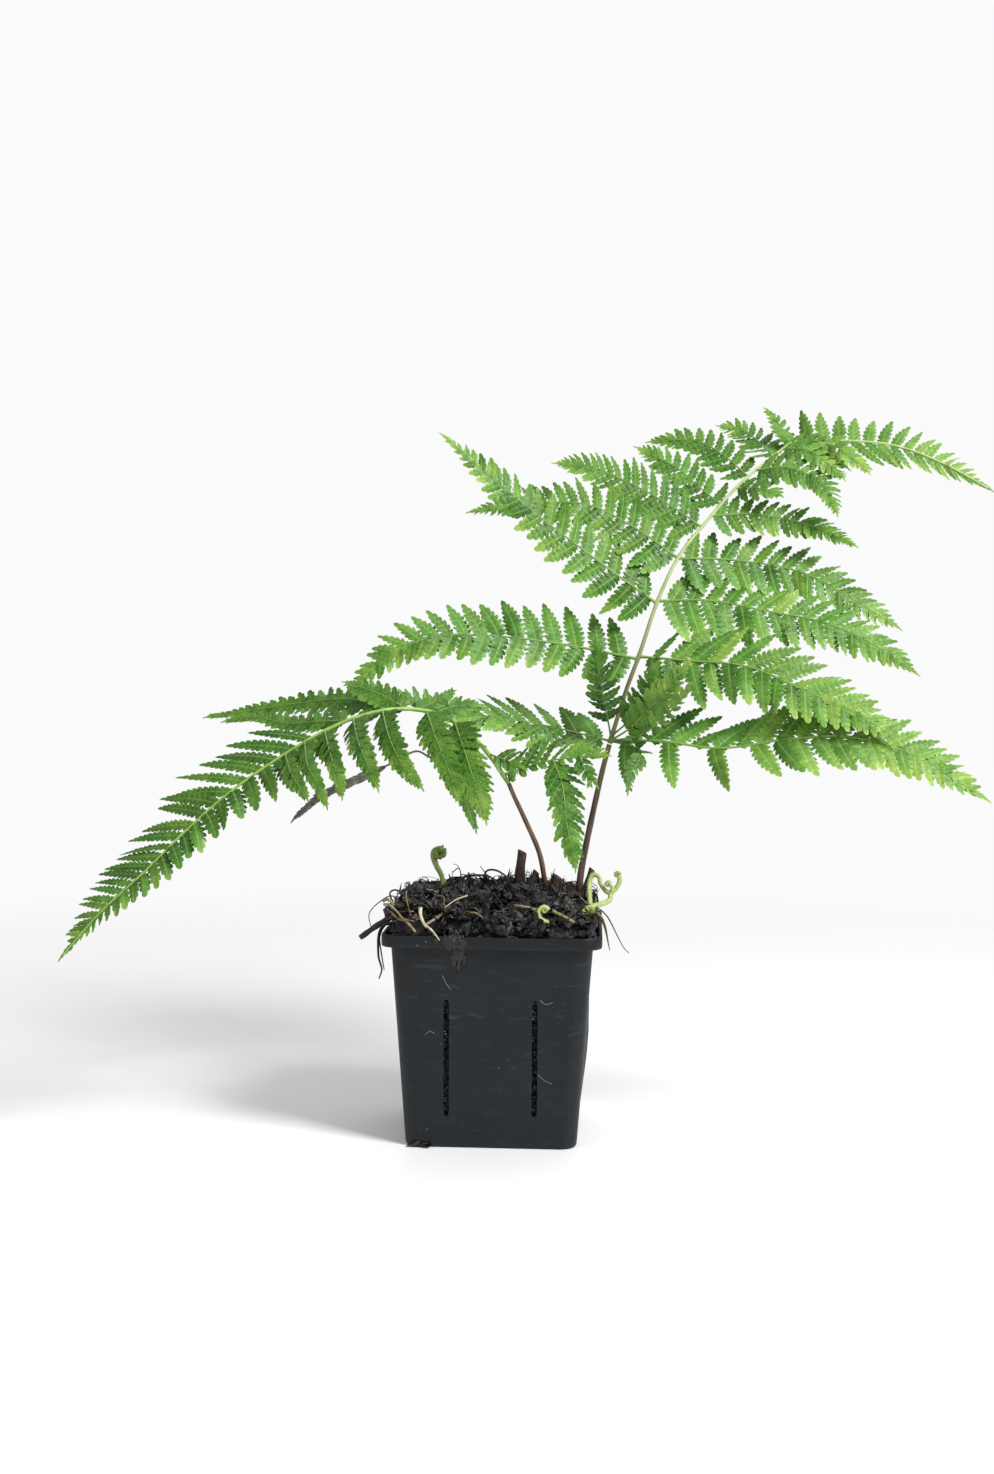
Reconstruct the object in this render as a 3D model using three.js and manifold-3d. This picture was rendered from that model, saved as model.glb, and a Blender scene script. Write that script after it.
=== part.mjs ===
// A young tree fern in a square nursery pot, in millimetres, +Z up.
// The origin is the middle of the pot's base. +X is the direction in which the two fronds
// spread, and the pot's front face looks along -Y.
import * as THREE from 'three';
import { mergeVertices } from 'three/addons/utils/BufferGeometryUtils.js';
import Module from 'manifold-3d';

const wasm = await Module();
wasm.setup();

// Driving dimensions of the pot: half widths of the square, heights and corner radii
const POT_HEIGHT = 78.5;
const RIM_BAND = 4.5;
const UNDER_RIM = POT_HEIGHT - RIM_BAND;
const RIM_HALF = 40;
const BODY_TOP_HALF = 36.7;
const BASE_HALF = 31.5;
const WALL = 1.3;
const FLOOR = 1.6;
const RIM_CORNER = 7.5;
const BASE_CORNER = 6;
const SLOT = { width: 1.7, low: 12, high: 55, offset: 16 };
const DRAIN = { radius: 3, offset: 19 };

// Clearance between pieces that touch, and the soil's mound above the rim
const GAP = 0.3;
const SIMPLEST = 0.08;
const MOUND_EDGE = 86;
const MOUND_CREST = 95;

// Blades of the fronds: half thickness at the leaflets and along the rib
const LEAF_HALF = 0.3;
const RIB_HALF = 0.45;
const RIB_WIDTH = 0.75;
const CROWDING = 0.4;
const WIDEST_LEAFLET = 6.4;

// Outlines of the leaflets from a length on: shares of the length, and of the half width
// towards the pinna's tip
const LEAFLET_SHAPES = [
  { from: 15.5, outline: [[0.3, -1], [0.64, -0.8], [1, 0.1], [0.68, 0.8], [0.36, 1]] },
  { from: 6, outline: [[0.42, -1], [1, 0.1], [0.5, 1]] },
  { from: 0, outline: [[0.5, -1], [1, 0.4]] },
];

// Directions that the upper side of a blade can face
const BACK = [0, -0.86, 0.5];
const FLAT = [0, -0.62, 0.78];
const ASIDE = [-0.35, -0.9, 0.3];

// Routes of the stalks, from the crown to the tip
const STIPE_RIGHT = [[31, 4, 84], [31, 4, 89], [32, 4, 99], [35, 4, 115], [39, 5, 134], [42, 6, 146]];
const STIPE_LEFT = [[19, -2, 84], [19, -2, 89], [18, -3, 96], [16, -6, 106], [11, -10, 118], [7, -14, 127],
  [5, -16, 132]];
const RACHIS_RIGHT = [[42.1, 6, 146.4], [48, 8, 166], [53, 10, 180], [60, 15, 201], [68, 20, 218], [78, 25, 231],
  [91, 30, 246], [106, 34, 259], [115, 34, 264], [130, 33, 264], [150, 30, 262], [168, 26, 255], [186, 20, 244]];
const RACHIS_LEFT = [[4.8, -16.2, 132.4], [0, -20, 140], [-7, -27, 149], [-17, -34, 157], [-29, -41, 160],
  [-41, -47, 159], [-55, -52, 154], [-72, -56, 144], [-89, -58, 132], [-104, -59, 119], [-120, -60, 103],
  [-136, -60, 88], [-150, -60, 72]];

// One row for each pinna: how far up the rachis it leaves, the points of its rib out to the tip,
// its longest leaflets on the upper and the lower side, how many pairs it has, how they lean from
// the rib in degrees (upper at the foot and the tip, then lower), and the way its blade faces.
const PINNAE_RIGHT = [
  { at: 1, via: [[35, 8, 149], [17, 10, 153], [-2, 6, 156], [-19, 0, 154]], long: [21, 17], pairs: 6,
    lean: [52, 40, 52, 40], face: FLAT },
  { at: 34, via: [[23, 8, 184], [-7, 0, 187], [-31, -8, 184], [-55, -14, 166]], long: [18.5, 15.5], pairs: 10,
    lean: [72, 48, 72, 48], face: BACK },
  { at: 57, via: [[38, 13, 215], [15, 10, 232], [-4, 6, 247], [-22, 2, 262]], long: [15, 16], pairs: 10,
    lean: [70, 45, 70, 45], face: BACK },
  { at: 77, via: [[51, 21, 229], [32, 22, 238], [10, 23, 238], [-13, 24, 235]], long: [15, 14], pairs: 9,
    lean: [70, 45, 70, 45], face: BACK },
  { at: 93, via: [[65, 27, 238], [49, 30, 247], [34, 32, 253], [20, 34, 255]], long: [12.5, 12.5], pairs: 8,
    lean: [66, 45, 66, 45], face: BACK },
  { at: 105, via: [[76, 33, 246], [67, 37, 254], [52, 42, 262]], long: [11, 12], pairs: 6,
    lean: [64, 45, 64, 45], face: BACK },
  { at: 121, via: [[85, 42, 260], [74, 50, 266], [57, 56, 266]], long: [11, 11], pairs: 6,
    lean: [64, 45, 64, 45], face: BACK },
  { at: 134, via: [[100, 45, 265], [94, 50, 270], [85, 54, 272]], long: [10, 11], pairs: 5,
    lean: [64, 42, 64, 42], face: BACK },
  { at: 142, via: [[110, 42, 268], [107, 46, 273], [103, 50, 278]], long: [5, 6], pairs: 4,
    lean: [62, 42, 62, 42], face: BACK },
  { at: 2, via: [[41, 0, 157], [39, -4, 167], [37, -6, 178], [37, -6, 185]], long: [8, 8], pairs: 6,
    lean: [68, 45, 68, 45], face: [-0.1, -1, 0], bare: 0.2 },
  { at: 3, via: [[49, 0, 155], [53, -5, 161], [57, -10, 171], [59, -12, 177]], long: [8, 7], pairs: 5,
    lean: [60, 45, 60, 45], face: [0.2, -1, 0], bare: 0.2 },
  { at: 1, via: [[50, -4, 153], [57, -10, 161], [64, -16, 169], [71, -20, 178]], long: [8, 8], pairs: 6,
    lean: [60, 40, 60, 40], face: [0.3, -0.9, 0.2], bare: 0.2 },
  { at: 1, via: [[53, -4, 150], [61, -12, 156], [67, -18, 163], [72, -22, 170]], long: [7, 5], pairs: 5,
    lean: [58, 40, 58, 40], face: [0.3, -0.9, 0.2], bare: 0.2 },
  { at: 1, via: [[61, -4, 148], [83, -12, 146], [108, -18, 150], [129, -22, 151], [151, -26, 145],
    [177, -30, 129]], long: [19, 21], pairs: 13, lean: [56, 42, 66, 44], face: [0.05, -0.8, 0.6] },
  { at: 1, via: [[53, -6, 145], [53, -12, 142], [50, -18, 137], [49, -22, 130]], long: [5, 6], pairs: 5,
    lean: [55, 40, 55, 40], face: [0.1, -1, 0.1], bare: 0.3 },
  { at: 35, via: [[72, 2, 178], [93, -8, 176], [114, -18, 167], [132, -24, 159], [145, -28, 150]],
    long: [18, 18], pairs: 11, lean: [64, 44, 64, 44], face: [0.05, -0.85, 0.5] },
  { at: 58, via: [[80, 14, 201], [102, 12, 197], [122, 8, 193], [140, 4, 185], [156, 0, 174]],
    long: [14, 15], pairs: 12, lean: [70, 42, 74, 44], face: [0.05, -0.85, 0.5] },
  { at: 77, via: [[88, 22, 217], [109, 22, 214], [124, 18, 208], [151, 12, 191]], long: [13, 14], pairs: 11,
    lean: [70, 42, 72, 44], face: [0.05, -0.85, 0.5] },
  { at: 99, via: [[97, 27, 235], [113, 24, 232], [123, 18, 228], [134, 12, 222]], long: [10, 11], pairs: 8,
    lean: [68, 42, 68, 42], face: BACK },
  { at: 114, via: [[98, 26, 245], [102, 24, 244], [106, 20, 241]], long: [7.5, 8], pairs: 4,
    lean: [60, 45, 60, 45], face: BACK },
  { at: 125, via: [[109, 26, 253], [119, 22, 249], [124, 17, 243], [127, 12, 234]], long: [9, 10], pairs: 7,
    lean: [66, 44, 66, 44], face: BACK },
  { at: 139, via: [[117, 28, 260], [124, 24, 255], [130, 19, 248]], long: [9, 9], pairs: 5,
    lean: [62, 44, 62, 44], face: BACK },
  { at: 150, via: [[128, 26, 261], [134, 22, 256], [139, 16, 250]], long: [7, 7], pairs: 5,
    lean: [62, 44, 62, 44], face: BACK },
];
const PINNAE_LEFT = [
  { at: 4, via: [[10, -21, 138], [18, -26, 141], [29, -31, 143], [41, -36, 144]], long: [13, 5], pairs: 7,
    lean: [60, 40, 60, 40], face: [0, -0.8, 0.6], branches: [
      { at: 22, via: [[25, -34, 133], [27, -40, 119], [30, -42, 104]], long: [10, 10], pairs: 8,
        lean: [50, 35, 50, 35], face: [0, -1, 0.1] },
      { at: 33, via: [[33, -36, 139], [35, -38, 136], [35, -40, 133]], long: [5, 5], pairs: 4,
        lean: [50, 35, 50, 35], face: [0, -1, 0.1] },
    ] },
  { at: 46, via: [[-19, -52, 150], [-14, -60, 140], [-10, -64, 129]], long: [9, 9], pairs: 8,
    lean: [55, 38, 55, 38], face: [-0.25, -0.95, 0.2] },
  { at: 34, via: [[-10, -46, 147], [-5, -54, 134], [-1, -58, 122]], long: [11, 11], pairs: 8,
    lean: [55, 38, 55, 38], face: [-0.2, -0.95, 0.2] },
  { at: 24, via: [[-11, -32, 141], [-10, -34, 129], [-6, -36, 117]], long: [6, 6], pairs: 7,
    lean: [50, 35, 50, 35], face: [-0.2, -0.9, 0.3] },
  { at: 15, via: [[2, -24, 142], [7, -26, 140], [7, -28, 136]], long: [7, 6], pairs: 4,
    lean: [60, 40, 60, 40], face: [0, -0.9, 0.4], bare: 0.2 },
  { at: 63, via: [[-34, -66, 151], [-28, -78, 142], [-21, -84, 135]], long: [8, 8], pairs: 8,
    lean: [52, 38, 52, 38], face: ASIDE },
  { at: 74, via: [[-44, -72, 150], [-39, -84, 142], [-35, -90, 135]], long: [8, 8], pairs: 7,
    lean: [52, 38, 52, 38], face: ASIDE },
  { at: 85, via: [[-53, -74, 145], [-49, -84, 138], [-47, -90, 132]], long: [7, 7], pairs: 6,
    lean: [52, 38, 52, 38], face: ASIDE },
  { at: 93, via: [[-61, -74, 142], [-56, -84, 136], [-52, -90, 129]], long: [6, 6], pairs: 6,
    lean: [52, 38, 52, 38], face: ASIDE },
  { at: 101, via: [[-67, -72, 139], [-63, -80, 135], [-59, -86, 131]], long: [6, 6], pairs: 5,
    lean: [52, 38, 52, 38], face: ASIDE },
  { at: 43, via: [[-14, -30, 161], [-8, -26, 161], [-5, -24, 159]], long: [7, 6], pairs: 4,
    lean: [50, 40, 50, 40], face: [0, -0.6, 0.8] },
  { at: 50, via: [[-20, -30, 163], [-17, -26, 165], [-15, -24, 167]], long: [5, 5], pairs: 4,
    lean: [50, 40, 50, 40], face: [0, -0.6, 0.8] },
  { at: 61, via: [[-53, -26, 163], [-74, -10, 161], [-92, -4, 158], [-111, 0, 155]], long: [7, 6], pairs: 8,
    lean: [64, 40, 64, 40], face: [0, -0.6, 0.8] },
  { at: 54, via: [[-38, -38, 164], [-46, -34, 167], [-54, -30, 169]], long: [5, 5], pairs: 5,
    lean: [60, 45, 60, 45], face: [0, -0.6, 0.8] },
  { at: 37, via: [[-24, -32, 161], [-31, -36, 163], [-38, -38, 162]], long: [6, 3], pairs: 4,
    lean: [74, 60, 60, 45], face: [0, -0.9, 0.4] },
  { at: 76, via: [[-64, -38, 155], [-76, -28, 154], [-89, -20, 156], [-101, -16, 154]], long: [6, 6], pairs: 7,
    lean: [60, 40, 60, 40], face: [0, -0.6, 0.8] },
];

// The last stretch of each rachis carries leaflets of its own
const APEX_RIGHT = { bare: 0.625, long: [14.5, 11], pairs: 12, lean: [88, 48, 66, 42], face: BACK };
const APEX_LEFT = { bare: 0.44, long: [29, 14], pairs: 14, lean: [36, 46, 92, 46], face: [-0.3, -0.7, 0.65] };

// Small growth on the soil: stubs of old stipes on the crown, curled young fronds, dry litter
const CROWN = { foot: [23, 2, 82], top: [23, 2, 90.5], radius: 15 };
const STUBS = [
  { points: [[10, 2, 85], [8.6, 2, 95], [9.5, 2, 105]], radius: 2.0 },
  { points: [[13, -2, 86], [13.5, -2, 93], [15, -2, 98]], radius: 1.5 },
  { points: [[22, 0, 86], [22, 0, 91], [23, 0, 96]], radius: 2.4 },
  { points: [[33, 8, 86], [34, 8.5, 91], [36, 9, 98]], radius: 1.4 },
];
const CROZIER_LEFT = {
  points: [[-20, 2, 88], [-21, 2, 95], [-23, 2, 99], [-24.3, 2, 102.5], [-24, 2, 104.8], [-22, 2, 105.6],
    [-20.4, 2, 104.4], [-21.2, 2, 103]],
  radii: [1.1, 1.6],
};
const CROZIER_CENTRE = {
  points: [[21, -33, 84], [20, -38.6, 84.5], [17.6, -39.2, 86], [17.2, -39.2, 88.6], [19, -39.2, 90],
    [20.8, -39.2, 88.8]],
  radii: [0.9, 1.0],
};
const CROZIER_RIGHT = [
  { points: [[31, -22, 83], [35, -18, 86.5], [39, -13, 87.5], [42.4, -10, 88.5], [43, -9, 91]], radii: [1.6, 1.2] },
  { points: [[43, -9, 91], [45, -8.5, 93], [46.3, -8, 95.5], [46, -8, 98]], radii: [1.2, 1.1] },
  { points: [[43, -9, 91], [41, -8, 92], [39.2, -7, 94.6], [38.6, -6.4, 97], [36.6, -6, 97.6], [35.4, -6, 96],
    [35, -7.4, 92], [35.6, -9.6, 85]], radii: [1.2, 1.3] },
  { points: [[43, -9, 91], [43.4, -9.6, 93.6], [42.2, -9.8, 95.4], [41, -9.6, 94.2]], radii: [0.8, 0.8] },
];
const TWIG = { points: [[-34, -12, 85], [-38, -14, 82.2], [-44, -15, 78.4], [-50, -16, 74]], radii: [1.2, 1.0] };
const STRAWS = {
  straw_left: { points: [[-24, -38.6, 82], [-18, -37.8, 86.2], [-12, -31, 89.6]], radii: [0.5, 0.7] },
  straw_front: { points: [[-33, -37, 85.5], [-29, -39.2, 82.4], [-27, -39.4, 80]], radii: [0.7, 0.5] },
  straw_centre: { points: [[8, -32, 89.2], [12.5, -33.6, 88.8], [16, -35.4, 88.2]], radii: [0.5, 0.6] },
  straw_right: { points: [[22, -36.6, 88], [26, -38, 86.4], [30, -38.9, 84.4]], radii: [0.7, 0.5] },
};
const WITHERED = { from: 28, long: [3.4, 3], pairs: 12, lean: [60, 40, 60, 40], face: [-0.2, -0.95, 0.2],
  via: [[-9, -22, 143], [-17, -25, 141.5], [-23, -27, 142], [-28, -31, 144.5], [-35, -34, 141], [-45, -36, 136],
    [-52, -38, 133], [-62, -40, 128], [-71, -40, 120]] };

// Turning points and meshes into solids

function toSolid(positions, triangles) {
  const mesh = new wasm.Mesh({
    numProp: 3,
    vertProperties: Float32Array.from(positions.flat()),
    triVerts: Uint32Array.from(triangles.flat()),
  });
  return new wasm.Manifold(mesh);
}

function geometrySolid(geometry) {
  geometry.deleteAttribute('normal');
  geometry.deleteAttribute('uv');
  const merged = mergeVertices(geometry);
  const mesh = new wasm.Mesh({
    numProp: 3,
    vertProperties: Float32Array.from(merged.attributes.position.array),
    triVerts: Uint32Array.from(merged.index.array),
  });
  return new wasm.Manifold(mesh);
}

// Joins the pieces of one plant part, and drops a sealed hollow or a loose scrap if any is left
function fuse(solids) {
  const bodies = wasm.Manifold.union(solids).simplify(SIMPLEST).decompose();
  return bodies.reduce((best, body) => (body.volume() > best.volume() ? body : best));
}

function route(points) {
  const curve = new THREE.CatmullRomCurve3(points.map((p) => new THREE.Vector3(...p)), false, 'catmullrom');
  curve.arcLengthDivisions = 400;
  return curve;
}

// Stacks closed rings into a body; the first ring gets the lower cap and the last the upper
function loft(rings) {
  const count = rings[0].length;
  const positions = rings.flat();
  const triangles = [];
  for (let level = 0; level < rings.length - 1; level += 1) {
    for (let k = 0; k < count; k += 1) {
      const a = level * count + k;
      const b = level * count + (k + 1) % count;
      triangles.push([a, b, b + count], [a, b + count, a + count]);
    }
  }
  const centre = (ring) => [0, 1, 2].map((axis) => ring.reduce((sum, p) => sum + p[axis], 0) / count);
  positions.push(centre(rings[0]), centre(rings[rings.length - 1]));
  const last = (rings.length - 1) * count;
  for (let k = 0; k < count; k += 1) {
    const next = (k + 1) % count;
    triangles.push([rings.length * count, next, k]);
    triangles.push([rings.length * count + 1, last + k, last + next]);
  }
  return toSolid(positions, triangles);
}

// A round stalk along a route, tapering from the first radius to the second. With grow it is
// fatter and longer on both ends by that clearance, which is how plain holes are cut for it.
function stalk(points, radii, { sides = 6, steps = 10, grow = 0 } = {}) {
  const path = route(points);
  const frames = path.computeFrenetFrames(steps, false);
  const rings = [];
  for (let i = 0; i <= steps; i += 1) {
    const centre = path.getPointAt(i / steps);
    if (i === 0) centre.addScaledVector(frames.tangents[0], -grow);
    if (i === steps) centre.addScaledVector(frames.tangents[steps], grow);
    const radius = THREE.MathUtils.lerp(radii[0], radii[1], i / steps) + grow;
    const ring = [];
    for (let k = 0; k < sides; k += 1) {
      const turn = (2 * Math.PI * k) / sides;
      const p = centre.clone()
        .addScaledVector(frames.normals[i], Math.cos(turn) * radius)
        .addScaledVector(frames.binormals[i], Math.sin(turn) * radius);
      ring.push(p.toArray());
    }
    rings.push(ring);
  }
  return loft(rings);
}

// Blades: a pinna is one thin arched plate, cut between its leaflets down to the rib

// Leaflets stand closer together towards the tip
const spread = (x) => x * (1 + CROWDING * (1 - x));

// How the leaflets shorten along a pinna, and along the bare end of a rachis
const pinnaTaper = (x) => Math.min(1, 0.8 + 1.4 * x) * Math.max(0, 1 - x ** 1.7) ** 0.85;
const apexTaper = (x) => Math.max(0, 1 - x ** 1.5) ** 0.9;

// Along the rib, out of the blade, and across it towards the upper edge
function ribFrame(path, u, face) {
  const along = path.getTangentAt(u);
  const out = new THREE.Vector3(...face);
  out.addScaledVector(along, -out.dot(along)).normalize();
  const across = new THREE.Vector3().crossVectors(out, along);
  if (across.z < 0) across.negate();
  const normal = new THREE.Vector3().crossVectors(along, across);
  return { at: path.getPointAt(u), along, out, across, normal };
}

// Outline points of one leaflet, from the side nearer the pinna's foot round to the other
function leafletOutline(frame, side, gap, length, lean) {
  const axis = frame.along.clone().multiplyScalar(Math.cos(lean))
    .addScaledVector(frame.across, side * Math.sin(lean));
  const cross = frame.along.clone().multiplyScalar(Math.sin(lean))
    .addScaledVector(frame.across, -side * Math.cos(lean));
  const half = Math.min(gap * Math.sin(lean) * 0.8, length * 0.5, WIDEST_LEAFLET) / 2;
  const shape = LEAFLET_SHAPES.find((entry) => length >= entry.from).outline;
  return shape.map(([out, wide]) => frame.at.clone()
    .addScaledVector(axis, out * length)
    .addScaledVector(cross, wide * half)
    .addScaledVector(frame.out, -0.1 * length * out * out));
}

// Thickens a sheet of triangles into a closed plate, with the same triangles on both faces
function plate(points, faces) {
  const positions = points.map(({ at, normal, half }) => at.clone().addScaledVector(normal, half).toArray());
  points.forEach(({ at, normal, half }) => {
    positions.push(at.clone().addScaledVector(normal, -half).toArray());
  });
  const count = points.length;
  const edges = new Set(faces.flatMap(([a, b, c]) => [`${a},${b}`, `${b},${c}`, `${c},${a}`]));
  const triangles = [];
  faces.forEach(([a, b, c]) => {
    triangles.push([a, b, c], [a + count, c + count, b + count]);
    [[a, b], [b, c], [c, a]].forEach(([p, q]) => {
      if (edges.has(`${q},${p}`)) return;
      triangles.push([q, p, p + count], [q, p + count, q + count]);
    });
  });
  return toSolid(positions, triangles);
}

// One pinna's plate, from its stalk at the start of the path to the leaflet at its tip
function pinnaPlate(path, row, taper) {
  const bare = row.bare ?? 0.06;
  const points = [];
  const faces = [];
  const add = (at, normal, half) => points.push({ at, normal, half }) - 1;
  const rib = (u) => {
    const frame = ribFrame(path, u, row.face);
    const [lower, upper] = [-1, 1].map((side) => {
      const edge = frame.at.clone().addScaledVector(frame.across, side * RIB_WIDTH * (1 - 0.3 * u));
      return add(edge, frame.normal, RIB_HALF);
    });
    return { lower, upper };
  };
  const bridge = (a, b) => faces.push([a.lower, b.lower, b.upper], [a.lower, b.upper, a.upper]);
  let last = rib(row.start ?? 0);
  const first = rib(bare);
  bridge(last, first);
  last = first;
  for (let i = 0; i < row.pairs; i += 1) {
    const x = (i + 0.5) / row.pairs;
    const [from, to] = [i, i + 1].map((k) => bare + (0.98 - bare) * spread(k / row.pairs));
    const next = rib(to);
    bridge(last, next);
    const frame = ribFrame(path, (from + to) / 2, row.face);
    const gap = (to - from) * path.getLength();
    [1, -1].forEach((side) => {
      const longest = side > 0 ? row.long[0] : row.long[1] * (1 - 0.25 * x);
      const [foot, tip] = side > 0 ? row.lean.slice(0, 2) : row.lean.slice(2);
      const lean = THREE.MathUtils.degToRad(THREE.MathUtils.lerp(foot, tip, x));
      const outline = leafletOutline(frame, side, gap, Math.max(longest * taper(x), 2.2), lean);
      const ids = outline.map((at) => add(at, frame.normal, LEAF_HALF));
      const [a, b] = side > 0 ? [last.upper, next.upper] : [last.lower, next.lower];
      leafletFaces(a, b, ids).forEach(([p, q, r]) => faces.push(side > 0 ? [p, q, r] : [p, r, q]));
    });
    last = next;
  }
  const tip = ribFrame(path, 1, row.face);
  faces.push([last.lower, add(tip.at, tip.normal, LEAF_HALF), last.upper]);
  return plate(points, faces);
}

// Triangles of one leaflet between two rib points, as seen with its tip pointing up
function leafletFaces(a, b, ids) {
  if (ids.length === 2) {
    const [near, tip] = ids;
    return [[a, b, tip], [a, tip, near]];
  }
  if (ids.length === 3) {
    const [near, tip, far] = ids;
    return [[a, b, far], [a, far, near], [near, far, tip]];
  }
  const [near, nearTip, tip, farTip, far] = ids;
  return [[a, b, far], [a, far, near], [near, far, farTip], [near, farTip, nearTip], [nearTip, farTip, tip]];
}

function pinnaSolids(parent, row) {
  const foot = parent.getPointAt(row.at / parent.getLength());
  const path = route([foot.toArray(), ...row.via]);
  const solids = [pinnaPlate(path, row, pinnaTaper)];
  (row.branches ?? []).forEach((branch) => solids.push(...pinnaSolids(path, branch)));
  return solids;
}

function frond(rachisPoints, pinnae, apex, radii) {
  const rachis = route(rachisPoints);
  const solids = [stalk(rachisPoints, radii, { steps: 20 })];
  solids.push(pinnaPlate(rachis, { ...apex, start: apex.bare - 0.03 }, apexTaper));
  pinnae.forEach((row) => solids.push(...pinnaSolids(rachis, row)));
  return fuse(solids);
}

// The pot

// Corner points of a square ring with round corners, counter-clockwise from above
function squareRing(half, corner, z, perSide = 1, perCorner = 3) {
  const ring = [];
  const straight = half - corner;
  for (let quarter = 0; quarter < 4; quarter += 1) {
    const turn = (quarter * Math.PI) / 2;
    const place = (x, y) => {
      const height = typeof z === 'function' ? z : () => z;
      const px = x * Math.cos(turn) - y * Math.sin(turn);
      const py = x * Math.sin(turn) + y * Math.cos(turn);
      ring.push([px, py, height(px, py)]);
    };
    for (let k = 0; k < perSide; k += 1) place(half, straight * ((2 * k) / perSide - 1));
    for (let k = 0; k < perCorner; k += 1) {
      const angle = (k / perCorner) * (Math.PI / 2);
      place(straight + corner * Math.cos(angle), straight + corner * Math.sin(angle));
    }
  }
  return ring;
}

function pot() {
  const shell = loft([
    squareRing(BASE_HALF - 0.6, BASE_CORNER, 0),
    squareRing(BASE_HALF, BASE_CORNER, 1),
    squareRing(BODY_TOP_HALF, RIM_CORNER - 1, UNDER_RIM),
    squareRing(RIM_HALF - 0.4, RIM_CORNER, UNDER_RIM),
    squareRing(RIM_HALF, RIM_CORNER, UNDER_RIM + 0.8),
    squareRing(RIM_HALF, RIM_CORNER, POT_HEIGHT - 0.5),
    squareRing(RIM_HALF - 0.4, RIM_CORNER, POT_HEIGHT),
    squareRing(RIM_HALF - WALL, RIM_CORNER - WALL, POT_HEIGHT),
    squareRing(RIM_HALF - WALL, RIM_CORNER - WALL, UNDER_RIM + 1.6),
    squareRing(BODY_TOP_HALF - WALL, RIM_CORNER - 1 - WALL, UNDER_RIM - 0.4),
    squareRing(BASE_HALF - WALL, BASE_CORNER - WALL, FLOOR),
  ]);
  const cuts = [];
  const slotGeometry = () => new THREE.BoxGeometry(SLOT.width, 4 * RIM_HALF, SLOT.high - SLOT.low);
  [-SLOT.offset, SLOT.offset].forEach((offset) => {
    const middle = (SLOT.low + SLOT.high) / 2;
    const slot = geometrySolid(slotGeometry().translate(offset, 0, middle));
    cuts.push(slot, slot.rotate([0, 0, 90]));
    [-DRAIN.offset, DRAIN.offset].forEach((y) => {
      const side = Math.sign(offset) * DRAIN.offset;
      const hole = new THREE.CylinderGeometry(DRAIN.radius, DRAIN.radius, 4 * FLOOR, 12);
      cuts.push(geometrySolid(hole.rotateX(Math.PI / 2).translate(side, y, 0)));
    });
  });
  return shell.subtract(wasm.Manifold.union(cuts));
}

// The soil: a root ball that fills the pot and stands above its rim as an uneven mound

function moundHeight(x, y) {
  const reach = Math.max(Math.abs(x), Math.abs(y)) / RIM_HALF;
  const lumps = Math.sin(x * 0.31 + 1.3) * Math.cos(y * 0.27 - 0.4)
    + 0.7 * Math.sin(x * 0.53 - y * 0.47 + 0.8) + 0.5 * Math.cos(x * 0.83 + y * 0.71);
  return MOUND_EDGE + (MOUND_CREST - MOUND_EDGE) * (1 - reach ** 2.6) + lumps * 0.8;
}

function soil(holes) {
  const inset = WALL + GAP;
  const ring = (half, corner, z) => squareRing(half, corner, z, 4, 2);
  const rings = [
    ring(BASE_HALF - inset, BASE_CORNER - inset, FLOOR + GAP),
    ring(BODY_TOP_HALF - inset, RIM_CORNER - 1 - inset, UNDER_RIM),
    ring(RIM_HALF - inset - 0.1, RIM_CORNER - inset, UNDER_RIM + 2.1),
    ring(RIM_HALF - inset - 0.1, RIM_CORNER - inset, POT_HEIGHT + 0.5),
    ring(RIM_HALF - inset - 0.6, RIM_CORNER, (x, y) => (POT_HEIGHT + 0.5 + moundHeight(x, y)) / 2),
  ];
  [0.95, 0.8, 0.6, 0.4, 0.2].forEach((scale) => {
    rings.push(ring((RIM_HALF - inset) * scale, (RIM_CORNER + 1) * scale, moundHeight));
  });
  return loft(rings).subtract(wasm.Manifold.union(holes));
}

// The crown: the fern's short upright stem in the soil, with the stubs of its old stipes

function crown(grow = 0) {
  const { foot, top, radius } = CROWN;
  const levels = [[0, 0.75], [0.45, 1], [0.8, 0.9], [1, 0.62]];
  const rings = levels.map(([up, wide], level) => {
    const ring = [];
    const end = level === 0 ? -grow : level === levels.length - 1 ? grow : 0;
    for (let k = 0; k < 9; k += 1) {
      const turn = (2 * Math.PI * k) / 9;
      const reach = (radius + Math.sin(k * 2.4) * 1.2) * wide + grow;
      ring.push([
        THREE.MathUtils.lerp(foot[0], top[0], up) + Math.cos(turn) * reach,
        THREE.MathUtils.lerp(foot[1], top[1], up) + Math.sin(turn) * reach * 0.7,
        THREE.MathUtils.lerp(foot[2], top[2], up) + end,
      ]);
    }
    return ring;
  });
  const stubs = STUBS.map(({ points, radius: wide }) => (
    stalk(points, [wide * 1.15, wide * 0.85], { sides: 6, steps: 3, grow })));
  return wasm.Manifold.union([loft(rings), ...stubs]);
}

const stipeRadii = { left: [1.5, 1.15], right: [2.1, 1.5] };
const stipe = (points, radii, grow = 0) => stalk(points, radii, { sides: 7, steps: 12, grow });
const curl = ({ points, radii }, grow = 0) => stalk(points, radii, { sides: 5, steps: points.length + 3, grow });
const crozierRight = (grow = 0) => wasm.Manifold.union(CROZIER_RIGHT.map((part) => curl(part, grow)));

// The dead pinna hangs from the left rachis behind the green ones
function withered() {
  const rachis = route(RACHIS_LEFT);
  const foot = rachis.getPointAt(WITHERED.from / rachis.getLength());
  const path = route([foot.toArray(), ...WITHERED.via]);
  const plant = pinnaPlate(path, { ...WITHERED, bare: 0.22 }, pinnaTaper);
  return plant.subtract(stalk(RACHIS_LEFT, rachisRadii, { steps: 20, grow: GAP }));
}

const rachisRadii = [1.4, 0.4];

// Materials

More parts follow.
